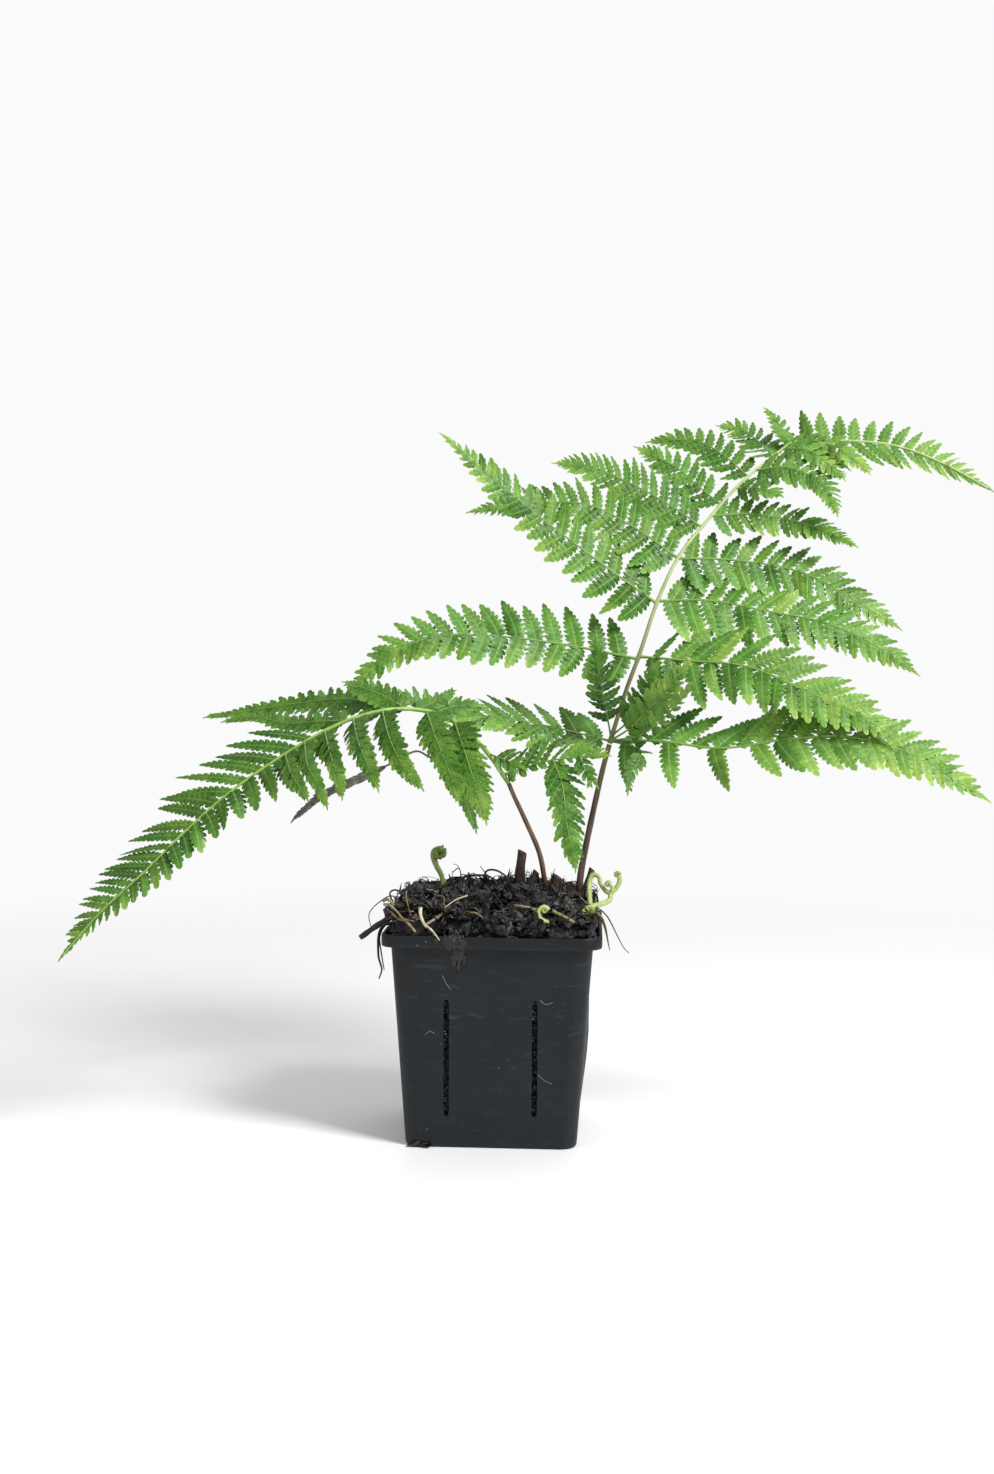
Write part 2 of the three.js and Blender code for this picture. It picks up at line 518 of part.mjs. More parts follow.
const finish = (color, roughness) => new THREE.MeshStandardMaterial({ color, roughness, metalness: 0 });
const POT_PLASTIC = finish('#26272b', 0.55);
const SOIL = finish('#15120f', 0.6);
const BARK = finish('#3a2a1e', 0.8);
const STIPE = finish('#4f3b29', 0.55);
const LEAF = finish('#3f7a1f', 0.5);
const YOUNG_LEAF = finish('#9fb866', 0.5);
const DEAD_LEAF = finish('#55554a', 0.85);
const STRAW = finish('#cdbb8d', 0.8);

// Assembly

const group = new THREE.Group();

function place(name, solid, material) {
  const mesh = solid.getMesh();
  const geometry = new THREE.BufferGeometry();
  geometry.setAttribute('position', new THREE.BufferAttribute(Float32Array.from(mesh.vertProperties), mesh.numProp));
  geometry.setIndex(new THREE.BufferAttribute(Uint32Array.from(mesh.triVerts), 1));
  const piece = new THREE.Mesh(geometry, material);
  piece.name = name;
  group.add(piece);
}

const litter = [TWIG, ...Object.values(STRAWS)];
const holes = [
  crown(GAP),
  curl(CROZIER_LEFT, GAP),
  curl(CROZIER_CENTRE, GAP),
  crozierRight(GAP),
  ...litter.map((part) => curl(part, GAP)),
];
const stipeHoles = [
  stipe(STIPE_LEFT, stipeRadii.left, GAP),
  stipe(STIPE_RIGHT, stipeRadii.right, GAP),
];

place('pot', pot(), POT_PLASTIC);
place('soil', soil([...holes, ...stipeHoles]), SOIL);
place('crown', crown().subtract(wasm.Manifold.union(stipeHoles)), BARK);
place('stipe_left', stipe(STIPE_LEFT, stipeRadii.left), STIPE);
place('stipe_right', stipe(STIPE_RIGHT, stipeRadii.right), STIPE);
place('frond_left', frond(RACHIS_LEFT, PINNAE_LEFT, APEX_LEFT, rachisRadii), LEAF);
place('frond_right', frond(RACHIS_RIGHT, PINNAE_RIGHT, APEX_RIGHT, rachisRadii), LEAF);
place('withered_pinna', withered(), DEAD_LEAF);
place('crozier_left', curl(CROZIER_LEFT), YOUNG_LEAF);
place('crozier_centre', curl(CROZIER_CENTRE), YOUNG_LEAF);
place('crozier_right', crozierRight(), YOUNG_LEAF);
place('twig', curl(TWIG), BARK);
Object.entries(STRAWS).forEach(([name, part]) => place(name, curl(part), STRAW));

export default group;
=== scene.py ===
"""The looks of a young tree fern in its square nursery pot.

Sizes and places are in millimetres in the part's own frame: +Z is up, the pot's front looks along
-Y and the two fronds spread along X. The tables of stalks and pinnae repeat the routes of the
solids, and the finer pieces made here keep those forms.
"""
import math
from dataclasses import dataclass, field
from functools import lru_cache

import bmesh
import bpy
import numpy as np
from mathutils import Matrix, Vector, noise


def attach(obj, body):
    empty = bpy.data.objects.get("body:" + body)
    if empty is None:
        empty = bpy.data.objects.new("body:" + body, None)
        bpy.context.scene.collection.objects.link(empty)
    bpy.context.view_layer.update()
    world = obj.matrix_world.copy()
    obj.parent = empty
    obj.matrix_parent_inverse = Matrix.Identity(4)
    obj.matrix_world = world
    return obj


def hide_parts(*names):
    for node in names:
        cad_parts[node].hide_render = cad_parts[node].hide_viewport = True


MM = 0.001
SEED = 20

# The pot: half widths of the square, heights and corner radii
POT_HEIGHT = 78.5
UNDER_RIM = 74.0
RIM_HALF = 40.0
BODY_TOP_HALF = 36.7
BASE_HALF = 31.5
WALL = 1.3
FLOOR = 1.6
RIM_CORNER = 7.5
BODY_TOP_CORNER = 6.5
BASE_CORNER = 6.0
SLOT_WIDTH = 2.0
SLOT_LOW, SLOT_HIGH = 12.0, 55.0
SLOT_OFFSET = 16.0
DRAIN_RADIUS = 3.0
DRAIN_OFFSET = 19.0

# The soil's mound above the rim, and the clearance between the soil and the pot
MOUND_EDGE = 86.0
MOUND_CREST = 91.6
MOUND_DIPS = [(36, -29, 11.0, 4.5), (8, -35, 13.0, 2.6)]     # middle, radius and depth
GAP = 0.3

# Directions that the upper side of a blade can face
BACK = (0, -0.86, 0.5)
FLAT = (0, -0.62, 0.78)
ASIDE = (-0.35, -0.9, 0.3)
RIGHTWARD = (0.05, -0.85, 0.5)


@dataclass
class Pinna:
    """A leafy side branch of a frond, or the leafy end of the frond's own rachis."""
    via: list                # points of its rib after its foot, out to its tip
    long: tuple              # longest leaflets of the upper and of the lower side
    pairs: int
    lean: tuple              # degrees from the rib: upper side at foot and tip, then lower side
    face: tuple              # the way its blade looks
    at: float = 0.0          # where it leaves its parent, along the parent from its foot
    bare: float = 0.015      # share of its rib without leaflets
    tone: float = 0.4        # 0 is dark green and 1 is yellow-green
    droop: float = 0.1       # how far a leaflet's tip hangs back, as a share of its length
    fill: float = 1.12       # how much of its stretch of rib a leaflet fills
    full: float = 2.0        # how far out its leaflets stay long
    web: float = 0.0         # share of its leaflets' length along which they are grown together
    sparse: float = 0.0      # share of its rib with only every second leaflet on the lower side
    branches: list = field(default_factory=list)


# Routes of the stalks, from the crown to the tip
STIPE_RIGHT = [(31, 4, 84), (31, 4, 89), (32, 4, 99), (35, 4, 115), (39, 5, 134), (42, 6, 146)]
STIPE_LEFT = [(19, -2, 84), (19, -2, 89), (18, -3, 96), (16, -6, 106), (11, -10, 118), (7, -14, 127),
              (5, -16, 132)]
RACHIS_RIGHT = [(42.1, 6, 146.4), (48, 8, 166), (53, 10, 180), (60, 15, 201), (68, 20, 218),
                (78, 25, 231), (91, 30, 246), (106, 34, 259), (115, 34, 264), (130, 33, 264),
                (150, 30, 262), (168, 26, 255), (186, 20, 244)]
RACHIS_LEFT = [(4.8, -16.2, 132.4), (0, -20, 140), (-7, -27, 149), (-17, -34, 157), (-29, -41, 160),
               (-41, -47, 159), (-55, -52, 154), (-72, -56, 144), (-89, -58, 132), (-104, -59, 119),
               (-120, -60, 103), (-136, -60, 88), (-150, -60, 72)]
STIPE_RADII = {"left": (1.05, 0.8), "right": (1.35, 0.95)}
RACHIS_RADII = (0.82, 0.32)

PINNAE_RIGHT = [
    Pinna(at=1, via=[(35, 8, 149), (17, 10, 153), (-2, 6, 156), (-19, 0, 154)], long=(21, 17), pairs=9,
          lean=(52, 40, 52, 40), face=FLAT, tone=0.42, fill=1.3),
    Pinna(at=34, via=[(23, 8, 184), (-7, 0, 187), (-31, -8, 184), (-55, -14, 166)], long=(19, 16),
          pairs=15, lean=(78, 48, 76, 48), face=BACK, tone=0.36, fill=1.25),
    Pinna(at=57, via=[(38, 13, 215), (15, 10, 232), (-4, 6, 247), (-22, 2, 262)], long=(17, 18),
          pairs=16, lean=(74, 48, 74, 48), face=BACK, tone=0.38, fill=1.08, full=1.15),
    Pinna(at=77, via=[(51, 21, 229), (32, 22, 238), (10, 23, 238), (-13, 24, 235)], long=(17, 16),
          pairs=17, lean=(74, 48, 74, 48), face=BACK, tone=0.36, fill=1.08, full=1.35),
    Pinna(at=93, via=[(65, 27, 238), (49, 30, 247), (34, 32, 253), (20, 34, 255)], long=(14.5, 14.5),
          pairs=14, lean=(66, 45, 66, 45), face=BACK, tone=0.34),
    Pinna(at=105, via=[(76, 33, 246), (67, 37, 254), (52, 42, 262)], long=(11, 12), pairs=10,
          lean=(64, 45, 64, 45), face=BACK, tone=0.34),
    Pinna(at=121, via=[(85, 42, 260), (74, 50, 266), (57, 56, 266)], long=(11, 11), pairs=10,
          lean=(64, 45, 64, 45), face=BACK, tone=0.32),
    Pinna(at=134, via=[(100, 45, 265), (94, 50, 270), (85, 54, 272)], long=(10, 11), pairs=8,
          lean=(64, 42, 64, 42), face=BACK, tone=0.38),
    Pinna(at=142, via=[(110, 42, 268), (107, 46, 273), (103, 50, 278)], long=(5, 6), pairs=6,
          lean=(62, 42, 62, 42), face=BACK, tone=0.4),
    Pinna(at=2, via=[(41, 0, 157), (39, -4, 167), (37, -6, 178), (37, -6, 185)], long=(8, 8), pairs=9,
          lean=(68, 45, 68, 45), face=(-0.1, -1, 0), bare=0.2, tone=0.12),
    Pinna(at=3, via=[(49, 0, 155), (53, -5, 161), (57, -10, 171), (59, -12, 177)], long=(8, 7), pairs=8,
          lean=(60, 45, 60, 45), face=(0.2, -1, 0), bare=0.2, tone=0.3),
    Pinna(at=1, via=[(50, -4, 153), (57, -10, 161), (64, -16, 169), (71, -20, 178)], long=(8, 8),
          pairs=10, lean=(60, 40, 60, 40), face=(0.3, -0.9, 0.2), bare=0.2, tone=0.5),
    Pinna(at=1, via=[(53, -4, 150), (61, -12, 156), (67, -18, 163), (72, -22, 170)], long=(7, 5),
          pairs=8, lean=(58, 40, 58, 40), face=(0.3, -0.9, 0.2), bare=0.2, tone=0.45),
    Pinna(at=1, via=[(61, -4, 148), (83, -12, 146), (108, -18, 150), (129, -22, 151), (151, -26, 145),
                     (177, -30, 129)], long=(24, 22), pairs=18, lean=(53, 50, 74, 46),
          face=(0.05, -0.8, 0.6), tone=0.46, fill=1.35, sparse=0.3),
    Pinna(at=1, via=[(53, -6, 145), (53, -12, 142), (50, -18, 137), (49, -22, 130)], long=(5, 6),
          pairs=7, lean=(55, 40, 55, 40), face=(0.1, -1, 0.1), bare=0.3, tone=0.15),
    Pinna(at=35, via=[(72, 2, 178), (93, -8, 176), (114, -18, 167), (132, -24, 159), (145, -28, 150)],
          long=(23, 23), pairs=14, lean=(58, 46, 70, 46), face=RIGHTWARD, tone=0.46, fill=1.25,
          full=1.6),
    Pinna(at=58, via=[(80, 14, 201), (102, 12, 197), (122, 8, 193), (140, 4, 185), (156, 0, 174)],
          long=(19, 20), pairs=16, lean=(62, 42, 74, 44), face=RIGHTWARD, tone=0.4, fill=1.2,
          full=1.7),
    Pinna(at=77, via=[(88, 22, 217), (109, 22, 214), (124, 18, 208), (151, 12, 191)], long=(15, 16.5),
          pairs=15, lean=(70, 42, 72, 44), face=RIGHTWARD, tone=0.38),
    Pinna(at=99, via=[(97, 27, 235), (113, 24, 232), (123, 18, 228), (134, 12, 222)], long=(10, 11),
          pairs=14, lean=(68, 42, 68, 42), face=BACK, tone=0.36),
    Pinna(at=114, via=[(98, 26, 245), (102, 24, 244), (106, 20, 241)], long=(7.5, 8), pairs=5,
          lean=(60, 45, 60, 45), face=BACK, tone=0.3),
    Pinna(at=125, via=[(109, 26, 253), (119, 22, 249), (124, 17, 243), (127, 12, 234)], long=(9, 10),
          pairs=11, lean=(66, 44, 66, 44), face=BACK, tone=0.36),
    Pinna(at=139, via=[(117, 28, 260), (124, 24, 255), (130, 19, 248)], long=(9, 9), pairs=8,
          lean=(62, 44, 62, 44), face=BACK, tone=0.45),
    Pinna(at=150, via=[(128, 26, 261), (134, 22, 256), (139, 16, 250)], long=(7, 7), pairs=7,
          lean=(62, 44, 62, 44), face=BACK, tone=0.6),
]

# What many pinnae of the left frond share: their leaflets are half grown together
GROWN = dict(web=0.5, droop=0.04)
HANGING = dict(lean=(52, 38, 52, 38), face=ASIDE, fill=1.3, **GROWN)

PINNAE_LEFT = [
    Pinna(at=4, via=[(10, -21, 138), (18, -26, 141), (29, -31, 143), (41, -36, 144)], long=(13, 5),
          pairs=10, lean=(60, 40, 60, 40), face=(0, -0.8, 0.6), tone=0.4, branches=[
              Pinna(at=22, via=[(25, -34, 133), (27, -40, 119), (30, -42, 104)], long=(10, 10), pairs=11,
                    lean=(52, 38, 52, 38), face=(0, -1, 0.1), tone=0.28, fill=1.2, web=0.3),
              Pinna(at=33, via=[(33, -36, 139), (35, -38, 136), (35, -40, 133)], long=(5, 5), pairs=5,
                    lean=(50, 35, 50, 35), face=(0, -1, 0.1), tone=0.3),
          ]),
    Pinna(at=46, via=[(-19, -52, 150), (-14, -60, 140), (-10, -64, 129)], long=(9, 9), pairs=12,
          lean=(55, 38, 55, 38), face=(-0.25, -0.95, 0.2), tone=0.38, fill=1.25, **GROWN),
    Pinna(at=34, via=[(-10, -46, 147), (-5, -54, 134), (-1, -58, 122)], long=(11, 11), pairs=12,
          lean=(55, 38, 55, 38), face=(-0.2, -0.95, 0.2), tone=0.42, fill=1.2, **GROWN),
    Pinna(at=24, via=[(-11, -32, 141), (-10, -34, 129), (-6, -36, 117)], long=(6, 6), pairs=10,
          lean=(50, 35, 50, 35), face=(-0.2, -0.9, 0.3), tone=0.1, web=0.4, droop=0.06),
    Pinna(at=15, via=[(2, -24, 142), (7, -26, 140), (7, -28, 136)], long=(7, 6), pairs=5,
          lean=(60, 40, 60, 40), face=(0, -0.9, 0.4), bare=0.2, tone=0.25),
    Pinna(at=63, via=[(-34, -66, 151), (-28, -78, 142), (-21, -84, 135)], long=(8, 8), pairs=12,
          tone=0.36, **HANGING),
    Pinna(at=74, via=[(-44, -72, 150), (-39, -84, 142), (-35, -90, 135)], long=(8, 8), pairs=10,
          tone=0.34, **HANGING),
    Pinna(at=85, via=[(-53, -74, 145), (-49, -84, 138), (-47, -90, 132)], long=(7, 7), pairs=9,
          tone=0.36, **HANGING),
    Pinna(at=93, via=[(-61, -74, 142), (-56, -84, 136), (-52, -90, 129)], long=(6, 6), pairs=9,
          tone=0.36, **HANGING),
    Pinna(at=101, via=[(-67, -72, 139), (-63, -80, 135), (-59, -86, 131)], long=(6, 6), pairs=7,
          tone=0.36, **HANGING),
    Pinna(at=43, via=[(-14, -30, 161), (-8, -26, 161), (-5, -24, 159)], long=(8, 7), pairs=7,
          lean=(50, 40, 50, 40), face=(0, -0.75, 0.65), tone=0.25, fill=1.2, **GROWN),
    Pinna(at=50, via=[(-20, -30, 163), (-17, -26, 165), (-15, -24, 167)], long=(6, 6), pairs=6,
          lean=(50, 40, 50, 40), face=(0, -0.75, 0.65), tone=0.25, fill=1.2, **GROWN),
    Pinna(at=61, via=[(-53, -26, 163), (-74, -10, 161), (-92, -4, 158), (-111, 0, 155)], long=(8.5, 10.5),
          pairs=18, lean=(64, 40, 68, 40), face=(0, -0.85, 0.52), tone=0.25, fill=1.3, full=1.2, web=0.4,
          droop=0.04),
    Pinna(at=54, via=[(-38, -38, 164), (-46, -34, 167), (-54, -30, 169)], long=(7, 8.5), pairs=8,
          lean=(60, 45, 60, 45), face=(0, -0.8, 0.6), tone=0.28, fill=1.3, **GROWN),
    Pinna(at=37, via=[(-24, -32, 161), (-31, -36, 163), (-38, -38, 162)], long=(7, 4), pairs=7,
          lean=(74, 60, 60, 45), face=(0, -0.9, 0.4), tone=0.3, fill=1.1, **GROWN),
    Pinna(at=76, via=[(-64, -38, 155), (-76, -28, 154), (-89, -20, 156), (-101, -16, 154)],
          long=(7.5, 7.5), pairs=14, lean=(60, 40, 64, 40), face=(0, -0.8, 0.6), tone=0.28, fill=1.3,
          full=1.3, web=0.4, droop=0.04),
]
APEX_RIGHT = Pinna(via=[], bare=0.625, long=(15, 20), pairs=14, lean=(104, 46, 48, 26), face=BACK,
                   tone=0.46, fill=1.06, full=1.6)
APEX_LEFT = Pinna(via=[], bare=0.415, long=(30.5, 15), pairs=19, lean=(48, 48, 92, 46),
                  face=(-0.3, -0.8, 0.5), tone=0.24, fill=1.08, full=1.5)
WITHERED = Pinna(via=[(-9, -22, 143), (-17, -25, 141.5), (-23, -27, 142), (-28, -31, 144.5),
                      (-35, -34, 141), (-45, -36, 136), (-52, -38, 133), (-62, -40, 128),
                      (-71, -40, 120)], at=28, long=(5.0, 4.2), pairs=11, lean=(30, 15, 30, 15),
                 face=(-0.2, -0.95, 0.2), bare=0.55, droop=0.22, fill=1.0, web=0.36)

# Small growth on the soil. A stalk is its points and its radius at the first and the last one
CROWN_FOOT, CROWN_TOP, CROWN_RADIUS = (23, 2, 82), (23, 2, 90.5), 15.0
STUBS = [
    ([(10, 2, 85), (8.6, 2, 95), (9.5, 2, 105)], 2.0),
    ([(13, -2, 86), (13.5, -2, 93), (15, -2, 98)], 1.5),
    ([(22, 0, 86), (22, 0, 91), (23, 0, 96)], 2.4),
    ([(33, 8, 86), (34, 8.5, 91), (36, 9, 98)], 1.4),
]
CROZIER_LEFT = ([(-20, 2, 88), (-21, 2, 95), (-23, 2, 99), (-24.3, 2, 102.5), (-24, 2, 104.8),
                 (-22, 2, 105.6), (-20.4, 2, 104.4), (-21.2, 2, 103)], (0.75, 1.2))
CROZIER_CENTRE = ([(21, -33, 84), (20, -38.6, 84.5), (17.6, -39.2, 86), (17.2, -39.2, 88.6),
                   (19, -39.2, 90), (20.8, -39.2, 88.8)], (0.6, 0.7))
CROZIER_RIGHT = [
    ([(31, -22, 83), (35, -18, 86.5), (39, -13, 87.5), (42.4, -10, 88.5), (43, -9, 91)], (1.2, 0.8)),
    ([(43, -9, 91), (45, -8.5, 93), (46.3, -8, 95.5), (46, -8, 98)], (0.8, 0.8)),
    ([(43, -9, 91), (41, -8, 92), (39.2, -7, 94.6), (38.6, -6.4, 97), (36.6, -6, 97.6), (35.4, -6, 96),
      (35, -7.4, 92), (35.6, -9.6, 85)], (0.75, 0.9)),
    ([(43, -9, 91), (43.4, -9.6, 93.6), (42.2, -9.8, 95.4), (41, -9.6, 94.2)], (0.6, 0.6)),
]
TWIG = ([(-34, -12, 85), (-38, -14, 82.2), (-44, -15, 78.4), (-50, -16, 74)], (1.2, 1.0))
STRAWS = {
    "straw_left": ([(-24, -38.6, 82), (-18, -37.8, 86.2), (-12, -31, 89.6)], (0.5, 0.7)),
    "straw_front": ([(-33, -37, 85.5), (-29, -39.2, 82.4), (-27, -39.4, 80)], (0.7, 0.5)),
    "straw_centre": ([(8, -32, 89.2), (12.5, -33.6, 88.8), (16, -35.4, 88.2)], (0.5, 0.6)),
    "straw_right": ([(22, -36.6, 88), (26, -38, 86.4), (30, -38.9, 84.4)], (0.7, 0.5)),
}

STRAW_THIN = 0.85                # the fine strands against the solids

# Single roots and hairs that stand out against the light: points, then the radius at both ends
DARK_ROOTS = [
    ([(-34, -30, 84), (-38.5, -31, 81.5), (-41, -31.6, 78), (-41.2, -31.5, 70), (-40, -31.2, 65),
      (-41, -31, 61.5)], (0.7, 0.3)),
    ([(-33, -27, 85), (-38.6, -27, 81), (-41.3, -27, 76.5), (-40.6, -27.2, 70), (-39.6, -27, 64)],
     (0.45, 0.2)),
    ([(-32, -20, 88), (-37.3, -20, 90.3), (-42.8, -20, 87.6), (-46.1, -20, 83.5), (-45.4, -20, 78.7)],
     (0.3, 0.15)),
    ([(-33, -14, 87.5), (-33.8, -14, 89.6), (-36.8, -14, 91.8), (-39.1, -14, 90.6), (-37.9, -14, 87)],
     (0.5, 0.3)),
    ([(34, -14, 86), (37.6, -14, 86.2), (41.3, -14, 83.7), (43.6, -14, 80), (45.8, -14, 75.6),
      (48.1, -14, 71.5), (50, -14, 69.7)], (0.35, 0.15)),
    ([(-16.2, -6, 91), (-16.2, -6, 94), (-16.6, -6, 98.4)], (0.3, 0.12)),
    ([(-12.4, -10, 90), (-12.9, -10, 96.9), (-14, -10, 100.6), (-15.9, -10, 101.4)], (0.25, 0.12)),
    ([(-17, -8, 92), (-15, -8, 94.6), (-11.9, -8, 96.3), (-7.4, -8, 97.1), (-2.1, -8, 96.5),
      (1, -8, 93)], (0.45, 0.35)),
    ([(-1.8, -5, 92), (-2.6, -5, 95), (-3.8, -5, 97.2), (-6.1, -5, 100.2)], (0.4, 0.15)),
    ([(-5, -4, 95), (-3.9, -4, 98), (0.3, -4, 98.4), (4.4, -4, 95.4), (5, -4, 92)], (0.4, 0.4)),
    ([(19.6, -3, 90), (19.9, -3, 93.4), (20.9, -3, 96.4), (22, -3, 99.4)], (0.35, 0.12)),
    ([(16, -3, 91), (17.2, -4, 95.4), (18.4, -4, 97.4)], (0.4, 0.15)),
    ([(-15.9, -11, 101.4), (-13.5, -12, 100.1), (-12.7, -12, 96.4), (-12.7, -13, 92.7), (-13.4, -14, 89.7)],
     (0.2, 0.35)),
]
TAN_ROOTS = [
    ([(-25.5, -37.6, 88.6), (-25.2, -38.8, 85.8), (-23.6, -39.2, 82.6), (-21.1, -39.6, 80.8),
      (-18.2, -40.9, 77.4)], (0.8, 0.2)),
    ([(-30.9, -34, 94), (-30.7, -36.6, 92), (-29.9, -37.6, 89), (-28.8, -38, 85.6)], (0.42, 0.25)),
    ([(-39, -33, 88.8), (-36.4, -37.6, 89.2), (-33.8, -38.4, 87.2), (-31.3, -38.6, 84.6),
      (-27.4, -38.8, 83.8)], (0.75, 0.25)),
    ([(-38.4, -36, 87), (-36, -38.2, 86.8), (-33.4, -38.8, 84.6), (-30, -39, 83.6)], (0.6, 0.3)),
    ([(-39.4, -34, 90.4), (-37.2, -36.4, 91.2), (-35, -37.8, 89.4)], (0.7, 0.5)),
    ([(-16.8, -36, 89.5), (-16.4, -38, 87), (-17.6, -38.8, 83.8)], (0.25, 0.12)),
    ([(-9, -30, 92.2), (-13, -33, 91), (-17, -36.6, 88.4)], (0.3, 0.2)),
    ([(36, -16, 86), (39.6, -17, 83), (41.2, -17.6, 79), (42.2, -17.6, 74), (42.8, -17.4, 71)],
     (0.9, 0.15)),
]
DUST_HAIRS = [
    ([(-17.5, -36.1, 64), (-16.2, -36.5, 61.4), (-14.4, -36.1, 58.8)], (0.09, 0.06)),
    ([(17.3, -33.7, 28), (19.6, -33.9, 26), (22.4, -33.5, 24.6)], (0.09, 0.06)),
    ([(17.9, -35.5, 55.4), (20, -35.9, 54), (22.4, -35.5, 54.8)], (0.08, 0.05)),
    ([(-23.6, -34.6, 42), (-22, -34.9, 43.4), (-20.2, -34.7, 42.4)], (0.07, 0.05)),
]

# Tufts of stiff fibre: x, y, number, spread and height
TUFTS = [
    (-3, 0, 9, 2.4, 7.0),
    (4, 1, 12, 2.4, 6.5),
    (-12, 2, 5, 3.0, 4.0),
    (15, -3, 6, 1.6, 8.0),
    (22, -4, 6, 1.6, 7.0),
    (-26, 4, 7, 3.6, 4.5),
    (-33, -6, 7, 2.6, 4.5),
    (29, 2, 8, 3.0, 5.5),
    (36, -2, 5, 1.2, 6.0),
    (-33, 20, 8, 3.0, 3.5),
    (10, 26, 12, 6.0, 4.0),
]

# The camera of the photograph
CAMERA_TARGET = (-0.4, 0.0, 148.6)
CAMERA_DISTANCE = 700.0
CAMERA_AZIMUTH, CAMERA_ELEVATION, CAMERA_ROLL = 3.0, 2.5, 0.5
CAMERA_LENS = 45.3


# Curves and directions

def unit(vectors):
    return vectors / np.linalg.norm(vectors, axis=-1, keepdims=True)


class Path:
    """A smooth route through points, measured along its length."""

    def __init__(self, points, fineness=60):
        knots = np.array(points, float)
        knots = np.vstack([2 * knots[0] - knots[1], knots, 2 * knots[-1] - knots[-2]])
        t = np.linspace(0, 1, fineness, endpoint=False)[:, None]
        stretches = [self.between(*four, t) for four in zip(knots, knots[1:], knots[2:], knots[3:])]
        self.places = np.vstack([*stretches, knots[-2]])
        steps = np.linalg.norm(np.diff(self.places, axis=0), axis=1)
        self.run = np.concatenate([[0], np.cumsum(steps)])
        self.length = self.run[-1]

    @staticmethod
    def between(a, b, c, d, t):
        """The smooth curve from b to c, where a comes before them and d after."""
        return 0.5 * (2 * b + (c - a) * t + (2 * a - 5 * b + 4 * c - d) * t**2
                      + (3 * b - a - 3 * c + d) * t**3)

    def at(self, share):
        reach = np.clip(share, 0, 1) * self.length
        return np.stack([np.interp(reach, self.run, self.places[:, axis]) for axis in range(3)], -1)

    def along(self, share):
        step = 0.004
        return unit(self.at(share + step) - self.at(share - step))


@dataclass
class Stand:
    """A place on a rib, with the directions along it, across it to the upper edge, and out."""
    place: np.ndarray
    along: np.ndarray
    across: np.ndarray
    out: np.ndarray


def stand_at(path, share, face):
    along = path.along(share)
    out = np.array(face, float)
    out = unit(out - (out @ along) * along)
    across = np.cross(out, along)
    return Stand(path.at(share), along, across if across[2] >= 0 else -across, out)


# Meshes

class Shape:
    """Collects the parts of one mesh, with two things to paint by at each corner.

    grain is a place on the part's own surface, such as across and along a leaflet. tint is how
    light the part is, how far it is an underside, and a draw of its own.
    """

    def __init__(self):
        self.corners, self.faces, self.grain, self.tint = [], [], [], []
        self.count = 0

    def add(self, corners, faces, grain=(0, 0, 0), tint=(0.5, 0, 0)):
        corners = np.asarray(corners, float)
        self.corners.append(corners)
        self.grain.append(np.broadcast_to(np.asarray(grain, float), corners.shape))
        self.tint.append(np.broadcast_to(np.asarray(tint, float), corners.shape))
        for group in faces:
            self.faces.extend((np.asarray(group) + self.count).tolist())
        self.count += len(corners)

    def piece(self, name, look, sharp=70):
        """The Blender object, smooth except over edges sharper than that angle."""
        mesh = bpy.data.meshes.new(name)
        mesh.from_pydata((np.vstack(self.corners) * MM).tolist(), [], self.faces)
        for layer, values in (("grain", self.grain), ("tint", self.tint)):
            attribute = mesh.attributes.new(layer, "FLOAT_VECTOR", "POINT")
            attribute.data.foreach_set("vector", np.vstack(values).astype(np.float32).ravel())
        return finished(mesh, name, look, sharp)


def finished(mesh, name, look, sharp):
    mesh.materials.clear()
    mesh.materials.append(look)
    mesh.polygons.foreach_set("use_smooth", [True] * len(mesh.polygons))
    mesh.set_sharp_from_angle(angle=math.radians(sharp))
    mesh.update()
    piece = bpy.data.objects.new(name, mesh)
    bpy.context.scene.collection.objects.link(piece)
    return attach(piece, "root")


def grid_quads(ids, closed=False):
    """Quads between the rows of a grid of corner numbers; closed joins each row's two ends."""
    if closed:
        ids = np.hstack([ids, ids[:, :1]])
    return np.stack([ids[:-1, :-1], ids[:-1, 1:], ids[1:, 1:], ids[1:, :-1]], -1).reshape(-1, 4)


def loft(rings):
    """Corners and faces of a closed body from rings that run counter-clockwise, lowest first."""
    rings = np.asarray(rings, float)
    levels, count = rings.shape[:2]
    ids = np.arange(levels * count).reshape(levels, count)
    corners = np.vstack([rings.reshape(-1, 3), rings[0].mean(0), rings[-1].mean(0)])
    first, last = levels * count, levels * count + 1
    below = [(first, b, a) for a, b in zip(ids[0], np.roll(ids[0], -1))]
    above = [(last, a, b) for a, b in zip(ids[-1], np.roll(ids[-1], -1))]
    return corners, (grid_quads(ids, closed=True), below, above)


def carried_frames(places):
    """Two directions across a route at each place, which turn as little as they can along it."""
    along = unit(np.gradient(places, axis=0))
    side = np.cross(along[0], (0.31, 0.9, 0.2))
    sides = []
    for direction in along:
        side = unit(side - (side @ direction) * direction)
        sides.append(side)
    sides = np.array(sides)
    return sides, np.cross(along, sides)


